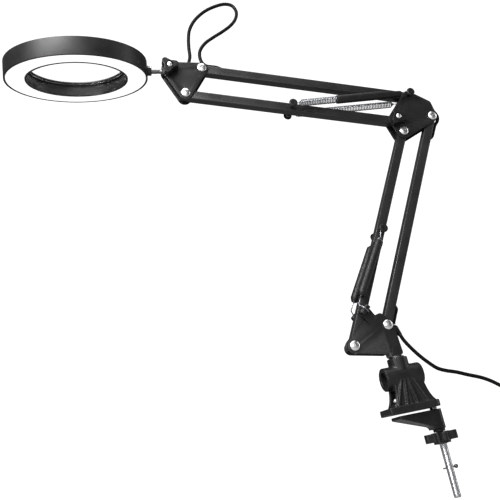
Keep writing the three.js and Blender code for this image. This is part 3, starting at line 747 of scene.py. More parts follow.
SUPPLY_CORD = [
    (6.6, 0, 92.8), (8.8, 0, 87.2), (10.8, 0, 82), (13.4, 0, 75.2), (20.8, 0, 63.2), (27.7, 0, 54.1),
    (35, 0, 46), (42.6, 0, 39.1), (51.1, 0, 35), (63.4, 0, 31), (75.4, 0, 26), (88.6, 0, 20.9), (98, 0, 16),
    (106, -1, 10), (118, -6, -2), (131, -18.5, -20), (141.5, -32.5, -42), (147.5, -41, -62),
    (150.2, -41, -77), (150.8, -32, -86.9), (150.25, -18, FLOOR + CORD_R),
]
COIL_CENTRE = Vector((119.5, 0))
COIL_RADII = [18.45, 22.55, 26.65, 30.75]
PLUG_START = 18.0  # along +Y, where the cord enters the plug's strain relief
PLUG_Z = FLOOR + 4.8


def eased(x, low, high):
    t = min(max((x - low) / (high - low), 0.0), 1.0)
    return t * t * (3 - 2 * t)


def coil_points(step=6):
    """Seven turns, counter-clockwise: inwards on the floor, up at the middle, outwards on top."""
    rows = COIL_RADII[:0:-1] + COIL_RADII  # radius that each turn starts at
    points = []
    for turn, radius in enumerate(rows):
        after = rows[turn + 1] if turn + 1 < len(rows) else radius
        for angle in range(0, 360, step):
            r = radius + (after - radius) * eased(angle, 315, 355)
            climb = 1.0 if turn > 3 else eased(angle, 180, 220) if turn == 3 else 0.0
            a = math.radians(angle)
            points.append(
                (
                    COIL_CENTRE.x + r * math.cos(a),
                    COIL_CENTRE.y + r * math.sin(a),
                    FLOOR + CORD_R * (1 + 2 * climb),
                )
            )
    return points


def supply_points():
    tail_x = COIL_CENTRE.x + COIL_RADII[-1]
    top = FLOOR + 3 * CORD_R
    tail = [(tail_x, y, top + (PLUG_Z - top) * min(y / PLUG_START, 1.0)) for y in (0, 6, 12, 18, 23)]
    lead_in = [Vector((tail_x, -9, FLOOR + CORD_R))]
    return smooth_path(SUPPLY_CORD, 6)[:-1] + lead_in + [Vector(p) for p in coil_points() + tail]


def cord_piece(name, points, nodes, sides=14):
    piece = to_object(name, tube_mesh(points, CORD_R, sides), recalc=False)
    piece.data.materials.append(CORD_BLACK)
    shade(piece, 50)
    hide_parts(*nodes)
    return piece


def make_plug():
    """Generic flat plug: moulded grip with finger ridges and a ribbed relief, and a folded steel shell."""
    x = COIL_CENTRE.x + COIL_RADII[-1]
    relief = [(CORD_R + 0.1, PLUG_START), (2.35, PLUG_START + 0.2)]
    for i in range(5):
        y = PLUG_START + 0.6 + i * 1.7
        r = 2.5 + i * 0.22
        relief += [(r + 0.35, y), (r + 0.35, y + 0.8), (r - 0.1, y + 1.0), (r - 0.1, y + 1.5)]
    relief += [(3.6, 27.2), (CORD_R + 0.1, 27.2)]
    turn = Matrix.Translation((x, 0, PLUG_Z)) @ Matrix.Rotation(-math.pi / 2, 4, "X")
    neck = to_object("neck", move(lathe(relief, 32, loop=True), turn))
    grip = bevel(to_object("grip", block(x - 8, x + 8, 25.6, 47, PLUG_Z - 4.4, PLUG_Z + 4.4)), 1.5, 5)
    ridges = []
    for i in range(5):
        y = 30 + i * 2.6
        for side in (-1, 1):
            ridge = block(x + side * 7.6, x + side * 8.25, y, y + 1.2, PLUG_Z - 2.6, PLUG_Z + 2.6)
            ridges.append(bevel(to_object("ridge", ridge), 0.25, 2))
    body = merged("plug_grip", [neck, grip] + ridges)
    fit_out(body, KNOB_BLACK, "base", ["plug_body"])
    low, high = PLUG_Z - 2.25, PLUG_Z + 2.25
    outer = [(x - 6, low), (x + 6, low), (x + 6, high), (x - 6, high)]
    shell = bevel(to_object("plug_shell_shape", prism(outer, 43.6, 59)), 0.35, 3)
    bored(
        shell,
        block(x - 5.6, x + 5.6, 48, 60, PLUG_Z - 0.1, PLUG_Z + 1.85),
        block(x - 3.6, x - 1.4, 50.5, 52.7, PLUG_Z + 1, PLUG_Z + 3),
        block(x + 1.4, x + 3.6, 50.5, 52.7, PLUG_Z + 1, PLUG_Z + 3),
    )
    shell.name = "plug_shell_folded"
    fit_out(shell, ZINC, "base", ["plug_shell"])
    return [body, shell]


def make_tie():
    """Hook-and-loop strap round the left side of the coil."""
    left = COIL_CENTRE.x - COIL_RADII[-1] - CORD_R - GAP
    right = COIL_CENTRE.x - COIL_RADII[0] + CORD_R + GAP
    top = FLOOR + 4 * CORD_R + GAP
    wall = 0.8

    def loop(grow):
        r = 1.2 + grow
        circles = [(left - grow, FLOOR + 0.02, 0.01), (right + grow, FLOOR + 0.02, 0.01)]
        circles += [(right - 1.2, top - 1.2, r), (left + 1.2, top - 1.2, r)]
        return hull_outline(circles)

    inner, outer = loop(0.0), loop(wall)
    band = to_object("band", prism(outer, -2.5, 2.5))
    bored(band, move(prism(inner, -3.5, 3.5), Matrix.Translation((0, 0, -0.4))))
    flap = to_object("flap", block(left + 3, right - 1, -2.5, 2.5, top + wall, top + wall + 0.6))
    strap = merged("cord_strap", [band, bevel(flap, 0.2, 2)])
    return fit_out(strap, STRAP, "base", ["cord_tie"])


def make_relief():
    """Ribbed sleeve round the cord where it leaves the bracket."""
    run = Vector(SUPPLY_CORD[2]) - Vector(SUPPLY_CORD[1])
    inner = CORD_R + 0.15
    profile = [(inner, 0), (inner + 1.0, 0)]
    for i in range(6):
        z = 0.7 + i * 1.65
        r = inner + 1.15 - 0.12 * i
        profile += [(r - 0.45, z), (r, z + 0.2), (r, z + 0.95), (r - 0.45, z + 1.15)]
    profile += [(inner + 0.3, 11), (inner, 11)]
    sleeve = lathe(profile, 40, loop=True)
    piece = to_object("cord_relief_ribs", move(sleeve, along(Vector((7.1, 0, 91.3)), run)))
    return fit_out(piece, PIN_BLACK, "base", ["cord_relief"])


def make_cords():
    points = supply_points()
    supply = cord_piece("supply_cord_run", points, ["supply_cord", "supply_cord_coil"])
    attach(supply, "base")
    plug = make_plug()
    plug + [make_tie()]
    points = smooth_path(HEAD_LEAD)
    lead = cord_piece("head_lead_loop", points, ["head_lead"])
    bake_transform(lead)
    points = smooth_path(REAR_LEAD)
    lead = cord_piece("rear_lead", points, ["rear_tube_lead"])
    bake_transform(lead)
    points = smooth_path(ELBOW_LEAD)
    lead = cord_piece("elbow_lead_run", points, ["elbow_lead"])
    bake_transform(lead)
    make_relief()


make_cords()

# ---------------------------------------------------------------- fasteners


def cross_outline(reach, half):
    arm = [(reach, -half), (reach, half), (half, half)]
    points = []
    for k in range(4):
        a = k * math.pi / 2
        points += [(x * math.cos(a) - y * math.sin(a), x * math.sin(a) + y * math.cos(a)) for x, y in arm]
    return points


def cross_recess(top, depth, reach=1.9, half=0.45):
    """Tapered cross-shaped driver recess, cut down from top along Z."""
    deep = cross_outline(reach * 0.42, half * 0.6)
    mouth = cross_outline(reach, half)
    bottom = [(x, y, top - depth) for x, y in deep]
    return rings_mesh([bottom, [(x, y, top + 0.4) for x, y in mouth]])


def truss_bolt():
    """Domed cross-head bolt across both plates: its head faces -Y and its threaded end stands behind."""
    under = PLATE_OUT + GAP
    head_r, head_h, shank, end = 5.5, 2.6, 2.5, -(PLATE_OUT + GAP + 5.0)
    dome = [(0, under + head_h)]
    for i in range(1, 13):
        a = i / 12 * math.pi / 2
        dome.append((head_r * math.sin(a), under + 0.45 + (head_h - 0.45) * math.cos(a)))
    profile = dome + [(head_r - 0.12, under + 0.1), (head_r - 0.3, under), (shank, under)]
    z = -(PLATE_OUT + GAP) + 0.4
    profile.append((shank, z))
    while z > end + 0.9:
        profile += [(shank - 0.35, z - 0.4), (shank, z - 0.8)]
        z -= 0.8
    profile += [(shank - 0.6, end), (0, end)]
    piece = to_object("bolt_pattern", lathe(profile, 64))
    bored(piece, cross_recess(under + head_h, 1.7))
    piece.data.transform(TURN_TO_FRONT)
    return shade(piece, 40)


def hex_nut():
    """Chamfered nut behind the back plate."""
    low, high, flats, bore = -(PLATE_OUT + GAP + 3.6), -(PLATE_OUT + GAP), 9.0, 2.55
    corner = flats / math.sqrt(3)
    hexagon = [(corner * math.cos(k * math.pi / 3), corner * math.sin(k * math.pi / 3)) for k in range(6)]
    piece = to_object("nut_pattern", flat_prism(hexagon, low, high))
    rounder = lathe([(0, low), (4.2, low), (5.4, low + 0.7), (5.4, high - 0.7), (4.2, high), (0, high)], 48)
    combined(piece, to_object("rounder", rounder), "INTERSECT")
    bored(piece, cylinder(bore, low - 1, high + 1, 32))
    bevel(piece, 0.12, 2, 25)
    piece.data.transform(TURN_TO_FRONT)
    return shade(piece, 30)


def make_fasteners():
    bolt, nut = truss_bolt(), hex_nut()
    sets = [
        ("base", [("base_front", BASE_FRONT), ("base_rear", BASE_REAR)]),
        ("elbow", [("elbow_front", ELBOW_FRONT), ("elbow_rear", ELBOW_REAR)]),
        ("head_bracket", [("head_low", HEAD_LOW), ("head_top", HEAD_TOP)]),
    ]
    for seed, (body, places) in enumerate(sets):
        points = [p for _, p in places]
        names = [n for n, _ in places]
        bolts, nuts = [n + "_bolt" for n in names], [n + "_nut" for n in names]
        copies(f"{body}_bolts", points, bolt, CHROME, body, bolts, 0.5, seed)
        copies(f"{body}_nuts", points, nut, ZINC, body, nuts, 3.1, seed)
    bpy.data.objects.remove(bolt)
    bpy.data.objects.remove(nut)


def make_spring_pins():
    """Cross pins with broad round heads and a centre dimple."""
    head, thick, r = SPRING_PLANE + 1.94, 2.0, 5.0
    end = head + thick
    half = [
        (0, end - 0.7), (1.5, end - 0.7), (1.9, end - 0.1), (3.4, end), (r - 0.5, end - 0.2),
        (r, end - 0.8), (r, head + 0.4), (r - 0.3, head), (2.0, head),
    ]
    profile = half + [(q, -z) for q, z in half[::-1]]
    for name, place, body in (
        ("lower_spring_pin", BASE_FRONT.lerp(ELBOW_FRONT, LOWER_PIN_AT), "lower_front"),
        ("elbow_spring_pin", ELBOW_TOP, "elbow"),
        ("upper_spring_pin", ELBOW_LOW.lerp(HEAD_LOW, UPPER_PIN_AT), "upper_low"),
    ):
        piece = to_object(name + "_turned", move(lathe(profile, 48), across(place.x, place.z)))
        fit_out(piece, PIN_BLACK, body, [name], 40)


# ---------------------------------------------------------------- springs


def make_springs():
    lower_pin = BASE_FRONT.lerp(ELBOW_FRONT, LOWER_PIN_AT)
    upper_pin = ELBOW_LOW.lerp(HEAD_LOW, UPPER_PIN_AT)
    base_hook = Vector((-33, 0, 118))
    lower, upper = ("base", "lower_front"), ("elbow", "upper_low")
    for side, word in ((-1, "front"), (1, "back")):
        spring_between(f"lower_spring_{word}", base_hook, lower_pin, side, lower, 9.0, 4.0)
        sleeve_between(f"lower_sleeve_{word}", base_hook, lower_pin, side, 10, -14, 4.0)
        narrow = 30.0 if side < 0 else 4.0
        spring_between(f"upper_spring_{word}", ELBOW_TOP, upper_pin, side, upper, 5.0, narrow)
    sleeve_between("upper_sleeve", ELBOW_TOP, upper_pin, -1, 10, 0.62, 30.0)


def slimming(z, start, narrow):
    """How much thinner a spring and its sleeve are near their hook."""
    return 1.6 * (1 - eased(z, start, start + narrow))


def spring_between(name, start, end, side, bodies, far_wire, narrow):
    """Close-wound spring with a straight wire and an eye or a hook at each end."""
    length = (end - start).length
    radius, gauge, pitch = 3.7, 0.6, 2.1
    low, high = 11.3, length - 2.3 - far_wire
    eye = 2.65
    turns = round((high - low) / pitch)
    coil = []
    for i in range(turns * 14 + 1):
        a = 2 * math.pi * i / 14
        shrink = 0.25 + 0.75 * eased(min(i, turns * 14 - i) / 14, 0, 2.5)
        z = low + (high - low) * i / (turns * 14)
        r = shrink * (radius - slimming(z, 12.3, narrow))
        coil.append(Vector((r * math.cos(a), r * math.sin(a), z)))
    ring = [math.radians(a) for a in range(60, 330, 20)]
    far = [Vector((0, 0, high + 2))]
    for a in ring:
        far.append(Vector((eye * math.sin(a - math.pi), 0, length + eye * math.cos(a - math.pi))))
    near = [Vector((0, 0, low - 2))]
    onto_tongue = bodies[0] == "base"
    if not onto_tongue:
        near = [Vector((eye * math.sin(a), 0, eye * math.cos(a))) for a in reversed(ring)] + near
    place = along(start, end - start, side * SPRING_PLANE)
    points = [place @ p for p in near + coil + far]
    if onto_tongue:
        points = tongue_hook(side) + points
    piece = wire(name + "_wire", points, gauge, SPRING_STEEL)
    piece.data.materials.clear()
    piece.data.materials.append(SPRING_STEEL)
    shade(piece, 50)
    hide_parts(name)
    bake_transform(piece)


TONGUE_ROOT = Vector((-19.5, 0, 102))
TONGUE_ACROSS = Vector((0.8, 0, 0.6))
TONGUE_UPHILL = Vector((-0.6, 0, 0.8))
CURL_AT = (12.5, 7.6)  # uphill and outward
CURL_R = 4.0


def tongue_hook(side):
    """Wire from inside the tongue's curl, round its end and over it to the spring."""
    centre = TONGUE_ROOT + TONGUE_UPHILL * CURL_AT[0]
    route = [
        (1.2, 0.6), (-0.8, -0.3), (-3.0, -0.6), (-4.7, 1.0), (-4.3, 3.4), (-1.8, 5.0), (1.5, 5.2),
        (4.4, 3.7), (6.6, 1.6), (8.6, 0.2),
    ]
    points = []
    for up, out in route:
        sideways = Vector((0, side * (PLATE_IN + CURL_AT[1] + out), 0))
        points.append(centre + TONGUE_UPHILL * up + sideways)
    return smooth_path(points, 4)


def sleeve_between(name, start, end, side, low, high, narrow):
    """Soft black sleeve over a spring, its wall following the coils a little.

    high is measured back from the far end if negative, and is a share of the length if not.
    """
    length = (end - start).length
    low += 2.3
    high = length + high - 2.3 if high < 0 else high * length + 2.3
    inner, wall = 4.35, 0.75

    def bore(z):
        return inner - slimming(z, low, narrow)

    steps = int((high - low) / 1.5)
    rise = [low + (high - low) * i / steps for i in range(steps + 1)]
    profile = [(bore(z), z) for z in reversed(rise)] + [(bore(low) + wall * 0.6, low - 0.1)]
    for i, z in enumerate(rise):
        hem = 0.25 if i in (0, steps) else 0
        profile.append((bore(z) + wall + 0.1 * math.sin(i * 2.4) - hem, z))
    profile.append((inner + wall * 0.6, high + 0.1))
    place = along(start, end - start, side * SPRING_PLANE)
    piece = to_object(name + "_skin", move(lathe(profile, 32, loop=True), place))
    piece.data.materials.append(SLEEVE_BLACK)
    shade(piece, 60)
    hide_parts(name)
    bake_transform(piece)


make_fasteners()
make_spring_pins()
make_springs()

# ---------------------------------------------------------------- tubes and bracket plates


def square_section(half, corner):
    a = half - corner
    circles = [(-a, -a, corner), (a, -a, corner), (a, a, corner), (-a, a, corner)]
    return hull_outline(circles, math.radians(22.5))


def make_tube(name, body, start, end, mouths=()):
    """Square tube with drawn corners, open ends and a rounded mouth where the lead goes in."""
    length = (end - start).length
    low, high = -TUBE_OVERHANG, length + TUBE_OVERHANG
    outer = square_section(TUBE / 2, 1.2)
    inner = square_section(TUBE / 2 - 1.0, 0.5)
    bm = bmesh.new()
    loops = []
    for outline, z in ((outer, low), (outer, high), (inner, high), (inner, low)):
        loops.append([bm.verts.new((x, y, z)) for x, y in outline])
    for a, b in zip(loops, loops[1:] + loops[:1]):
        n = len(a)
        for i in range(n):
            bm.faces.new((a[i], a[(i + 1) % n], b[(i + 1) % n], b[i]))
    piece = to_object(name + "_drawn", bm)
    bevel(piece, 0.22, 2, 60)
    for near, far in mouths:
        half = CORD_R + GAP
        slot = hull_outline([(0, near + half, half), (0, far - half, half)])
        turn = Matrix.Rotation(math.pi / 2, 4, "Z")
        cutter = move(prism(slot, -TUBE / 2 - 2, -2), turn)
        bored(piece, cutter)
    placed(piece, along(start, end - start))
    fit_out(piece, TUBE_PAINT, body, [name], 35)


def make_tubes():
    lower, upper = (ELBOW_FRONT - BASE_FRONT).length, (HEAD_LOW - ELBOW_LOW).length
    make_tube("lower_front_tube", "lower_front", BASE_FRONT, ELBOW_FRONT)
    make_tube("lower_rear_tube", "lower_rear", BASE_REAR, ELBOW_REAR, [(15, 31), (lower - 35, lower - 19)])
    make_tube("upper_low_tube", "upper_low", ELBOW_LOW, HEAD_LOW)
    make_tube("upper_top_tube", "upper_top", ELBOW_TOP, HEAD_TOP, [(upper - 37, upper - 18)])


def plate_pair(word, body, outlines, holes, extra=None):
    """Front and back bracket plates, stamped to one shape, with rolled edges."""
    for side, end in ((-1, "front"), (1, "back")):
        low, high = sorted((side * PLATE_IN, side * PLATE_OUT))
        sheets = []
        for circles in outlines:
            outline = hull_outline(circles, math.radians(6))
            sheets.append(to_object("sheet", prism(outline, low, high)))
        piece = united(f"{word}_plate_{end}_pressed", *sheets)
        for (x, z), r in holes:
            bored(piece, move(cylinder(r, -20, 20, 40), across(x, z)))
        bevel(piece, 0.3, 3, 50)
        if extra:
            piece = merged(piece.name, [piece, extra(side)])
        fit_out(piece, PLATE_PAINT, body, [f"{word}_plate_{end}"], 40)


def tongue(side):
    """Tongue pressed out of the plate, rising uphill and curled outward for a spring's hook."""
    cx, cy = CURL_AT
    first, last = -math.pi / 2.2, math.pi * 0.72

    def arc(radius, a, b):
        angles = [a + (b - a) * i / 20 for i in range(21)]
        return [(cx + radius * math.cos(t), cy + radius * math.sin(t)) for t in angles]

    section = [(-4, 0.1), (8.5, 4.3)] + arc(CURL_R, first, last) + arc(CURL_R - PLATE, last, first)
    section += [(8.3, 4.4 + PLATE), (-4, PLATE)]
    half = 6.0
    rows = []
    for depth in (-half, half):
        row = []
        for up, out in section:
            sideways = Vector((0, side * (PLATE_IN + out), 0))
            row.append(TONGUE_ROOT + TONGUE_UPHILL * up + sideways + TONGUE_ACROSS * depth)
        rows.append(row)
    return bevel(to_object("tongue", rings_mesh(rows)), 0.28, 3, 50)


def make_plates():
    def circle(p, r):
        return (p.x, p.z, r)

    def hole(p, r=2.8):
        return ((p.x, p.z), r)

    sheet = [
        (-46.2, 76.6, 7), (-11.5, 67.5, 4.5), (-2.6, 92.5, 6.6), (-9, 103.5, 4), (-24, 99, 4.5),
        (-44, 79.6, 7),
    ]
    neck = [(-3.5, 62.4, 3), (3.1, 62.4, 3), (-2.6, 92.5, 6.6)]
    plate_pair("base", "base", [sheet, neck], [hole(BASE_FRONT), hole(BASE_REAR)], tongue)
    elbow = [
        circle(ELBOW_FRONT, 9.5), circle(ELBOW_REAR, 7),
        (ELBOW_REAR.x - 0.5, ELBOW_REAR.z + 17.5, 4.5),
        circle(ELBOW_TOP, 6.2), circle(ELBOW_LOW, 9),
    ]
    elbow_holes = [hole(ELBOW_FRONT), hole(ELBOW_REAR), hole(ELBOW_LOW), hole(ELBOW_TOP, 2.3)]
    plate_pair("elbow", "elbow", [elbow], elbow_holes)
    head = [circle(HEAD_PIVOT, 9), circle(HEAD_LOW, 8), circle(HEAD_TOP, 7.2)]
    plate_pair("head", "head_bracket", [head], [hole(HEAD_PIVOT), hole(HEAD_LOW), hole(HEAD_TOP)])


make_tubes()
make_plates()

# ---------------------------------------------------------------- hand knobs


def star_knob(name, body, stud_body, place, turn):
    """Three-lobed knob with a bored nose, and the chromed stud that it turns on."""
    low, high = PLATE_OUT + GAP, PLATE_OUT + GAP + 9.0
    circles = []
    for i in range(3):
        a = turn + i * 2 * math.pi / 3
        circles.append((7.2 * math.cos(a), 7.2 * math.sin(a), 3.7))
    lobes = []
    for i, (x, z, r) in enumerate(circles):
        a = turn + i * 2 * math.pi / 3
        sides = [a + s * math.pi / 3 for s in (-1, 1)]
        roots = [(1.6 * math.cos(b), 1.6 * math.sin(b), 4.2) for b in sides]
        shape = hull_outline([roots[0], (x, z, r), roots[1]])
        lobes.append(to_object("lobe", flat_prism(shape, low, high)))
    knob = united(name + "_lobes", *lobes)
    cast_edges(knob, 0.28, 7)
    mouth = lathe([(0, high - 2.5), (4.0, high - 2.5), (4.4, high + 1), (0, high + 1)], 48)
    bored(knob, cylinder(2.8, low - 1, high + 1), mouth)
    placed(knob, across(place.x, place.z))
    fit_out(knob, KNOB_BLACK, body, [name], 50)
    nose, cap = high + 0.6, -(PLATE_OUT + GAP)
    profile = [
        (0, nose + 0.5), (1.4, nose + 0.35), (2.6, nose - 0.15), (3.3, nose - 0.9), (3.4, nose - 2.2),
        (2.45, nose - 2.4), (2.45, cap), (4.5, cap), (4.5, cap - 2.2), (4.1, cap - 2.6),
        (2.5, cap - 2.8), (2.5, cap - 4.2), (2.1, cap - 4.6), (0, cap - 4.6),
    ]
    stud = to_object(name + "_stud_turned", move(lathe(profile, 48), across(place.x, place.z)))
    fit_out(stud, CHROME, stud_body, [name + "_stud"], 40)


star_knob("elbow_knob", "elbow_hand_knob", "elbow", ELBOW_LOW, math.radians(100))
star_knob("head_knob", "head_hand_knob", "head_bracket", HEAD_PIVOT, math.radians(125))

# ---------------------------------------------------------------- clamp


ON_SCREW = Matrix.Translation((SCREW_X, 0, 0))


def make_clamp_body():
    body = cad_copy("clamp_casting", "clamp_body")
    cast_edges(body, 0.6, 7)
    bored(
        body,
        cylinder(6.25, 7, 60),
        move(cylinder(8.0, -24, 24), Matrix.Translation((0, 0, BARREL_Z)) @ ABOUT_Y),
        move(cylinder(4.3, -2, 6), ON_SCREW),
    )
    fit_out(body, CAST_BLACK, "clamp", ["clamp_body"], 50)
    profile = [(0, 1.9), (1.2, 1.75), (2.0, 1.1), (2.3, 0.2), (2.3, -0.3), (1.4, -0.3), (1.4, -3), (0, -3)]
    screw = bored(to_object("clamp_side_screw", lathe(profile, 40)), cross_recess(1.9, 0.9, 1.1, 0.28))
    facing_left = Matrix.Translation((-17.6, -8.4, 13.2)) @ Matrix.Rotation(-math.pi / 2, 4, "Y")
    fit_out(placed(screw, facing_left), CHROME, "clamp")


def make_clamp_screw():
    """Rolled thread of 1.25 mm pitch with a plain dog point."""
    x, radius, pitch, depth, low, high = SCREW_X, 4.0, 1.25, 0.35, FLOOR, 5.7
    around, per_turn = 36, 6
    rows = int((high - low) / pitch * per_turn)
    rings = []
    for i in range(rows + 1):
        z = low + (high - low) * i / rows
        run_out = eased(z, low + 2.0, low + 4.5)
        ring = []
        for k in range(around):
            turn = k / around
            phase = ((z - low) / pitch - turn) % 1.0
            groove = depth * (1 - abs(2 * phase - 1)) * run_out
            tip = 0.8 * (1 - eased(z, low, low + 1.0))
            r = radius - (0.15 if z < low + 3 else 0.0) - groove - tip
            ring.append((x + r * math.cos(2 * math.pi * turn), r * math.sin(2 * math.pi * turn), z))
        rings.append(ring)
    screw = to_object("clamp_screw_thread", rings_mesh(rings))
    across_screw = Matrix.Translation((x, 0, STOP_PIN_Z)) @ ABOUT_Y
    bored(screw, move(cylinder(1.1, -10, 10, 24), across_screw))
    fit_out(screw, ZINC, "clamp", ["clamp_screw"], 60)
    profile = [(0, -7.4), (0.6, -7.3), (0.8, -7.0), (0.8, 5.4), (1.3, 5.5)]
    for i in range(13):
        a = math.pi * (0.18 + 0.82 * i / 12)
        profile.append((2.2 * math.sin(a) if i < 12 else 0, 7.5 - 2.2 * math.cos(a)))
    pin = lathe(profile, 32)
    piece = to_object("screw_stop_pin_turned", move(pin, across_screw))
    fit_out(piece, DARK_STEEL, "clamp", ["screw_stop_pin"], 50)


def make_jaw_and_knob():
    jaw = cad_copy("clamp_jaw_cast", "clamp_jaw")
    cast_edges(jaw, 0.5, 5)
    bored(jaw, move(cylinder(4.3, -36, 1), ON_SCREW))
    fit_out(jaw, CAST_BLACK, "jaw", ["clamp_jaw"], 50)
    knob = cad_copy("clamp_knob_wings", "clamp_knob")
    cast_edges(knob, 0.4, 7)
    bored(knob, move(cylinder(5.9, -42, -24), ON_SCREW))
    fit_out(knob, KNOB_BLACK, "wing_knob", ["clamp_knob"], 50)
    low, high = -38.0, -26.8
    profile = [(4.3, low + 0.3), (4.6, low), (5.3, low), (5.6, low + 0.3), (5.6, high), (4.3, high)]
    insert = to_object("knob_insert_turned", move(lathe(profile, 48, loop=True), ON_SCREW))
    fit_out(insert, ZINC, "wing_knob", ["knob_insert"], 40)


def make_spigot():
    spigot = cad_copy("base_spigot_machined", "base_spigot")
    bevel(spigot, 0.25, 2, 40)
    fit_out(spigot, DARK_STEEL, "base", ["base_spigot"], 40)


make_clamp_body()
make_clamp_screw()
make_jaw_and_knob()
make_spigot()

# ---------------------------------------------------------------- head

RING_R = 80.0
HOLE_R = 55.3
RING_H = 20.2
ROD_REACH = 25.0
RING_ROLL = math.radians(13.3)


def head_frame():
    """Rod frame: X back along the rod from the head pivot, Y across."""
    slope = math.atan2(-ROD_BACK.z, ROD_BACK.x)
    return Matrix.Translation(HEAD_PIVOT) @ Matrix.Rotation(slope, 4, "Y")


def ring_frame():
    """Ring frame: origin at the ring's centre, Z out of its top."""
    centre = Matrix.Translation((-ROD_REACH - RING_R, 0, 0))
    return head_frame() @ centre @ Matrix.Rotation(RING_ROLL, 4, "X")


def rounded(profile, radius):
    """A closed profile with each corner rounded where there is room."""
    out = []
    n = len(profile)
    for i in range(n):
        p, a, b = (Vector(profile[k % n]) for k in (i, i - 1, i + 1))
        r = min(radius, (a - p).length * 0.45, (b - p).length * 0.45)
        start, end = p + (a - p).normalized() * r, p + (b - p).normalized() * r
        for k in range(5):
            t = k / 4
            out.append(tuple((1 - t) ** 2 * start + 2 * t * (1 - t) * p + t * t * end))
    return out


def make_ring():
    place = ring_frame()
    half = RING_H / 2
    lens_top = half - 3.5
    lip = HOLE_R - 1.5
    housing = [
        (HOLE_R, -half), (HOLE_R + 2, -half), (HOLE_R + 2, half - 2), (RING_R - 2, half - 2),
        (RING_R - 2, -half), (RING_R, -half), (RING_R, half), (RING_R - 6.6, half),
        (RING_R - 6.9, half - 0.35), (RING_R - 7.2, half), (lip, half), (lip, lens_top + GAP),
        (HOLE_R, lens_top + GAP),
    ]
    shell = lathe(rounded(housing, 0.7), 200, loop=True)
    piece = to_object("ring_housing_moulded", move(shell, place))
    fit_out(piece, HOUSING_BLACK, "ring", ["ring_housing"], 40)

    inner, outer = HOLE_R + 2 + GAP, RING_R - 2 - GAP
    low = -half + 0.4
    face = [
        (inner, low + 0.5), (inner + 0.4, low + 0.05), (inner + 3, low), (outer - 3, low),
        (outer - 0.4, low + 0.05), (outer, low + 0.5), (outer, low + 1.5), (inner, low + 1.5),
    ]
    piece = to_object("diffuser_moulded", move(lathe(face, 160, loop=True), place))
    fit_out(piece, OPAL, "ring", ["diffuser"], 30)

    slab = rounded([(inner + 0.5, -1.5), (outer - 0.5, -1.5), (outer - 0.5, 0), (inner + 0.5, 0)], 0.1)
    piece = to_object("led_board_cut", move(lathe(slab, 120, loop=True), place))
    fit_out(piece, BOARD, "ring", ["led_board"], 30)

    radius = HOLE_R - GAP
    lens_low, sag = lens_top - 2.2, 3.2
    steps = 24
    under = [(radius * i / steps, lens_low - sag * (1 - (i / steps) ** 2)) for i in range(steps + 1)]
    over = [(radius * i / steps, lens_top + sag * (1 - (i / steps) ** 2)) for i in range(steps, -1, -1)]
    piece = to_object("lens_ground", move(lathe(under + over, 128), place))
    fit_out(piece, LENS, "ring", ["lens"], 40)

    step, foot, top = radius - 1.4, lens_low - 1.5, lens_low - GAP
    retainer = rounded([(step, foot), (radius, foot), (radius, top), (step, top)], 0.3)
    piece = to_object("lens_retainer_ring", move(lathe(retainer, 120, loop=True), place))
    fit_out(piece, HOUSING_BLACK, "ring", ["lens_retainer"], 40)


def make_lug():
    place = ring_frame()
    lug = to_object("ring_lug_moulded", block(RING_R - 1, RING_R + 5, -3.75, 3.75, -3.75, 3.75))
    bevel(lug, 0.7, 4, 40)
    screw_x = RING_R + 2.6
    on_lug = Matrix.Translation((screw_x, 0, 0))
    bored(
        lug,
        cylinder(RING_R + GAP, -20, 20, 192),
        move(cylinder(2.8, RING_R, RING_R + 20), ABOUT_Y),
        move(cylinder(1.6, 2, 9), on_lug),
    )
    fit_out(placed(lug, place), HOUSING_BLACK, "ring", ["ring_lug"], 40)
    # Knurled thumb screw: its rim is a ring of fine ridges.
    ridges, rows = 28, []
    for z, rim in ((4.05, 2.1), (4.3, 2.5), (7.3, 2.5), (7.65, 2.0)):
        row = []
        for k in range(ridges * 4):
            a = 2 * math.pi * k / (ridges * 4)
            r = rim + (0.12 if k % 4 < 2 else -0.05)
            row.append((r * math.cos(a), r * math.sin(a), z))
        rows.append(row)
    head = to_object("thumb", move(rings_mesh(rows), on_lug))
    bored(head, block(screw_x - 4, screw_x + 4, -0.35, 0.35, 7.0, 9))
    stem = lathe([(0, 2.95), (1.0, 2.95), (1.25, 3.3), (1.25, 4.15), (0, 4.15)], 32)
    shank = to_object("shank", move(stem, on_lug))
    screw = merged("lug_screw_knurled", [head, shank])
    fit_out(placed(screw, place), CHROME, "ring", ["lug_screw"], 35)


def make_rod():
    """Eye and rod of the head, in the rod frame."""
    place = head_frame()
    boss = rounded([(0.01, -5), (7, -5), (7, 5), (0.01, 5)], 0.5)
    eye = to_object("eye", move(lathe(boss, 64, loop=True), TURN_TO_FRONT))
    low, high = -ROD_REACH + 1.5, -4.5
    bar = [
        (0, low), (2.0, low), (2.5, low + 0.5), (2.5, -13), (2.1, -12.7), (2.1, -12), (2.5, -11.7),
        (2.5, -9), (3.4, -7.5), (3.4, high), (0, high),
    ]
    stem = to_object("stem", move(lathe(bar, 40), ABOUT_Y))
    united("head_rod_forged", eye, stem)
    bored(eye, move(cylinder(2.8, -12, 12), TURN_TO_FRONT))
    fit_out(placed(eye, place), DARK_STEEL, "head_arm", ["head_rod"], 40)


make_ring()
make_lug()
make_rod()

# ---------------------------------------------------------------- floor, light and finish


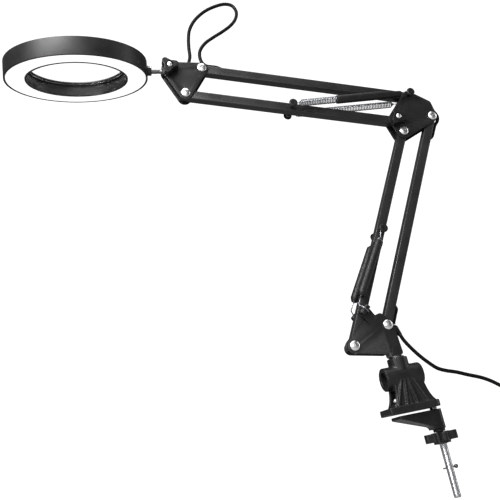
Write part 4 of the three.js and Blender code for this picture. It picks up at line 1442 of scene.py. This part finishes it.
def make_floor():
    """Plain white sheet to look at, and a dim grey one to every piece that it lights."""
    floor = to_object("pale_floor", block(-3000, 3000, -3000, 3000, FLOOR - 1, FLOOR))
    sheet = Finish("floor_white", (0.35, 0.35, 0.35), 0.8)
    sheet.tint(sheet.use(HANDLING, Scale=3.0), (0.34, 0.34, 0.34), (0.36, 0.36, 0.36))
    sheet.shader.inputs["Emission Color"].default_value = (1.0, 1.0, 1.0, 1.0)
    path = sheet.tree.nodes.new("ShaderNodeLightPath")
    views = path.outputs["Is Camera Ray"], path.outputs["Is Transmission Ray"]
    seen = math_node(sheet.tree, "MAXIMUM", *views)
    shine = ranged(sheet.tree, seen, 0.0, 1.0, 0.06, 1.1)
    sheet.tree.links.new(shine, sheet.shader.inputs["Emission Strength"])
    floor.data.materials.append(sheet.material)


def make_world():
    """White behind the lamp, and a softer grey dome as its light."""
    world = bpy.data.worlds.new("studio")
    bpy.context.scene.world = world
    world.use_nodes = True
    tree = world.node_tree
    tree.nodes.clear()
    add, link = tree.nodes.new, tree.links.new
    out, mix = add("ShaderNodeOutputWorld"), add("ShaderNodeMixShader")
    white, dome = add("ShaderNodeBackground"), add("ShaderNodeBackground")
    path = add("ShaderNodeLightPath")
    seen = math_node(tree, "MAXIMUM", path.outputs["Is Camera Ray"], path.outputs["Is Transmission Ray"])
    white.inputs["Color"].default_value = (1, 1, 1, 1)
    white.inputs["Strength"].default_value = 1.15
    direction = add("ShaderNodeTexCoord")
    split = add("ShaderNodeSeparateXYZ")
    link(direction.outputs["Generated"], split.inputs["Vector"])
    height = ranged(tree, split.outputs["Z"], -0.4, 1.0, 0.04, 0.16)
    link(height, dome.inputs["Strength"])
    link(seen, mix.inputs[0])
    link(dome.outputs[0], mix.inputs[1])
    link(white.outputs[0], mix.inputs[2])
    link(mix.outputs[0], out.inputs["Surface"])


def soft_box(name, place, target, width, height, power):
    data = bpy.data.lights.new(name, "AREA")
    data.shape = "RECTANGLE"
    data.size, data.size_y = width, height
    data.energy = power
    lamp = bpy.data.objects.new(name, data)
    lamp.location = place
    aim = Vector(target) - Vector(place)
    lamp.rotation_mode = "QUATERNION"
    lamp.rotation_quaternion = aim.to_track_quat("-Z", "Y")
    bpy.context.scene.collection.objects.link(lamp)


def make_lights():
    middle = (-0.08, 0.0, 0.25)
    soft_box("left_box", (-1.2, -0.9, 0.75), middle, 0.5, 1.3, 13)
    soft_box("top_box", (-0.1, -0.3, 1.7), middle, 1.2, 0.8, 14)
    soft_box("front_box", (-0.35, -1.7, 0.55), middle, 1.1, 0.9, 7)
    soft_box("right_box", (1.3, -0.2, 0.5), middle, 0.25, 1.2, 4)
    soft_box("head_box", (-0.5, -0.5, 0.7), (-0.1, 0.0, 0.42), 0.35, 0.25, 7)


make_floor()
make_world()
make_lights()
bpy.context.scene.view_settings.view_transform = "Standard"
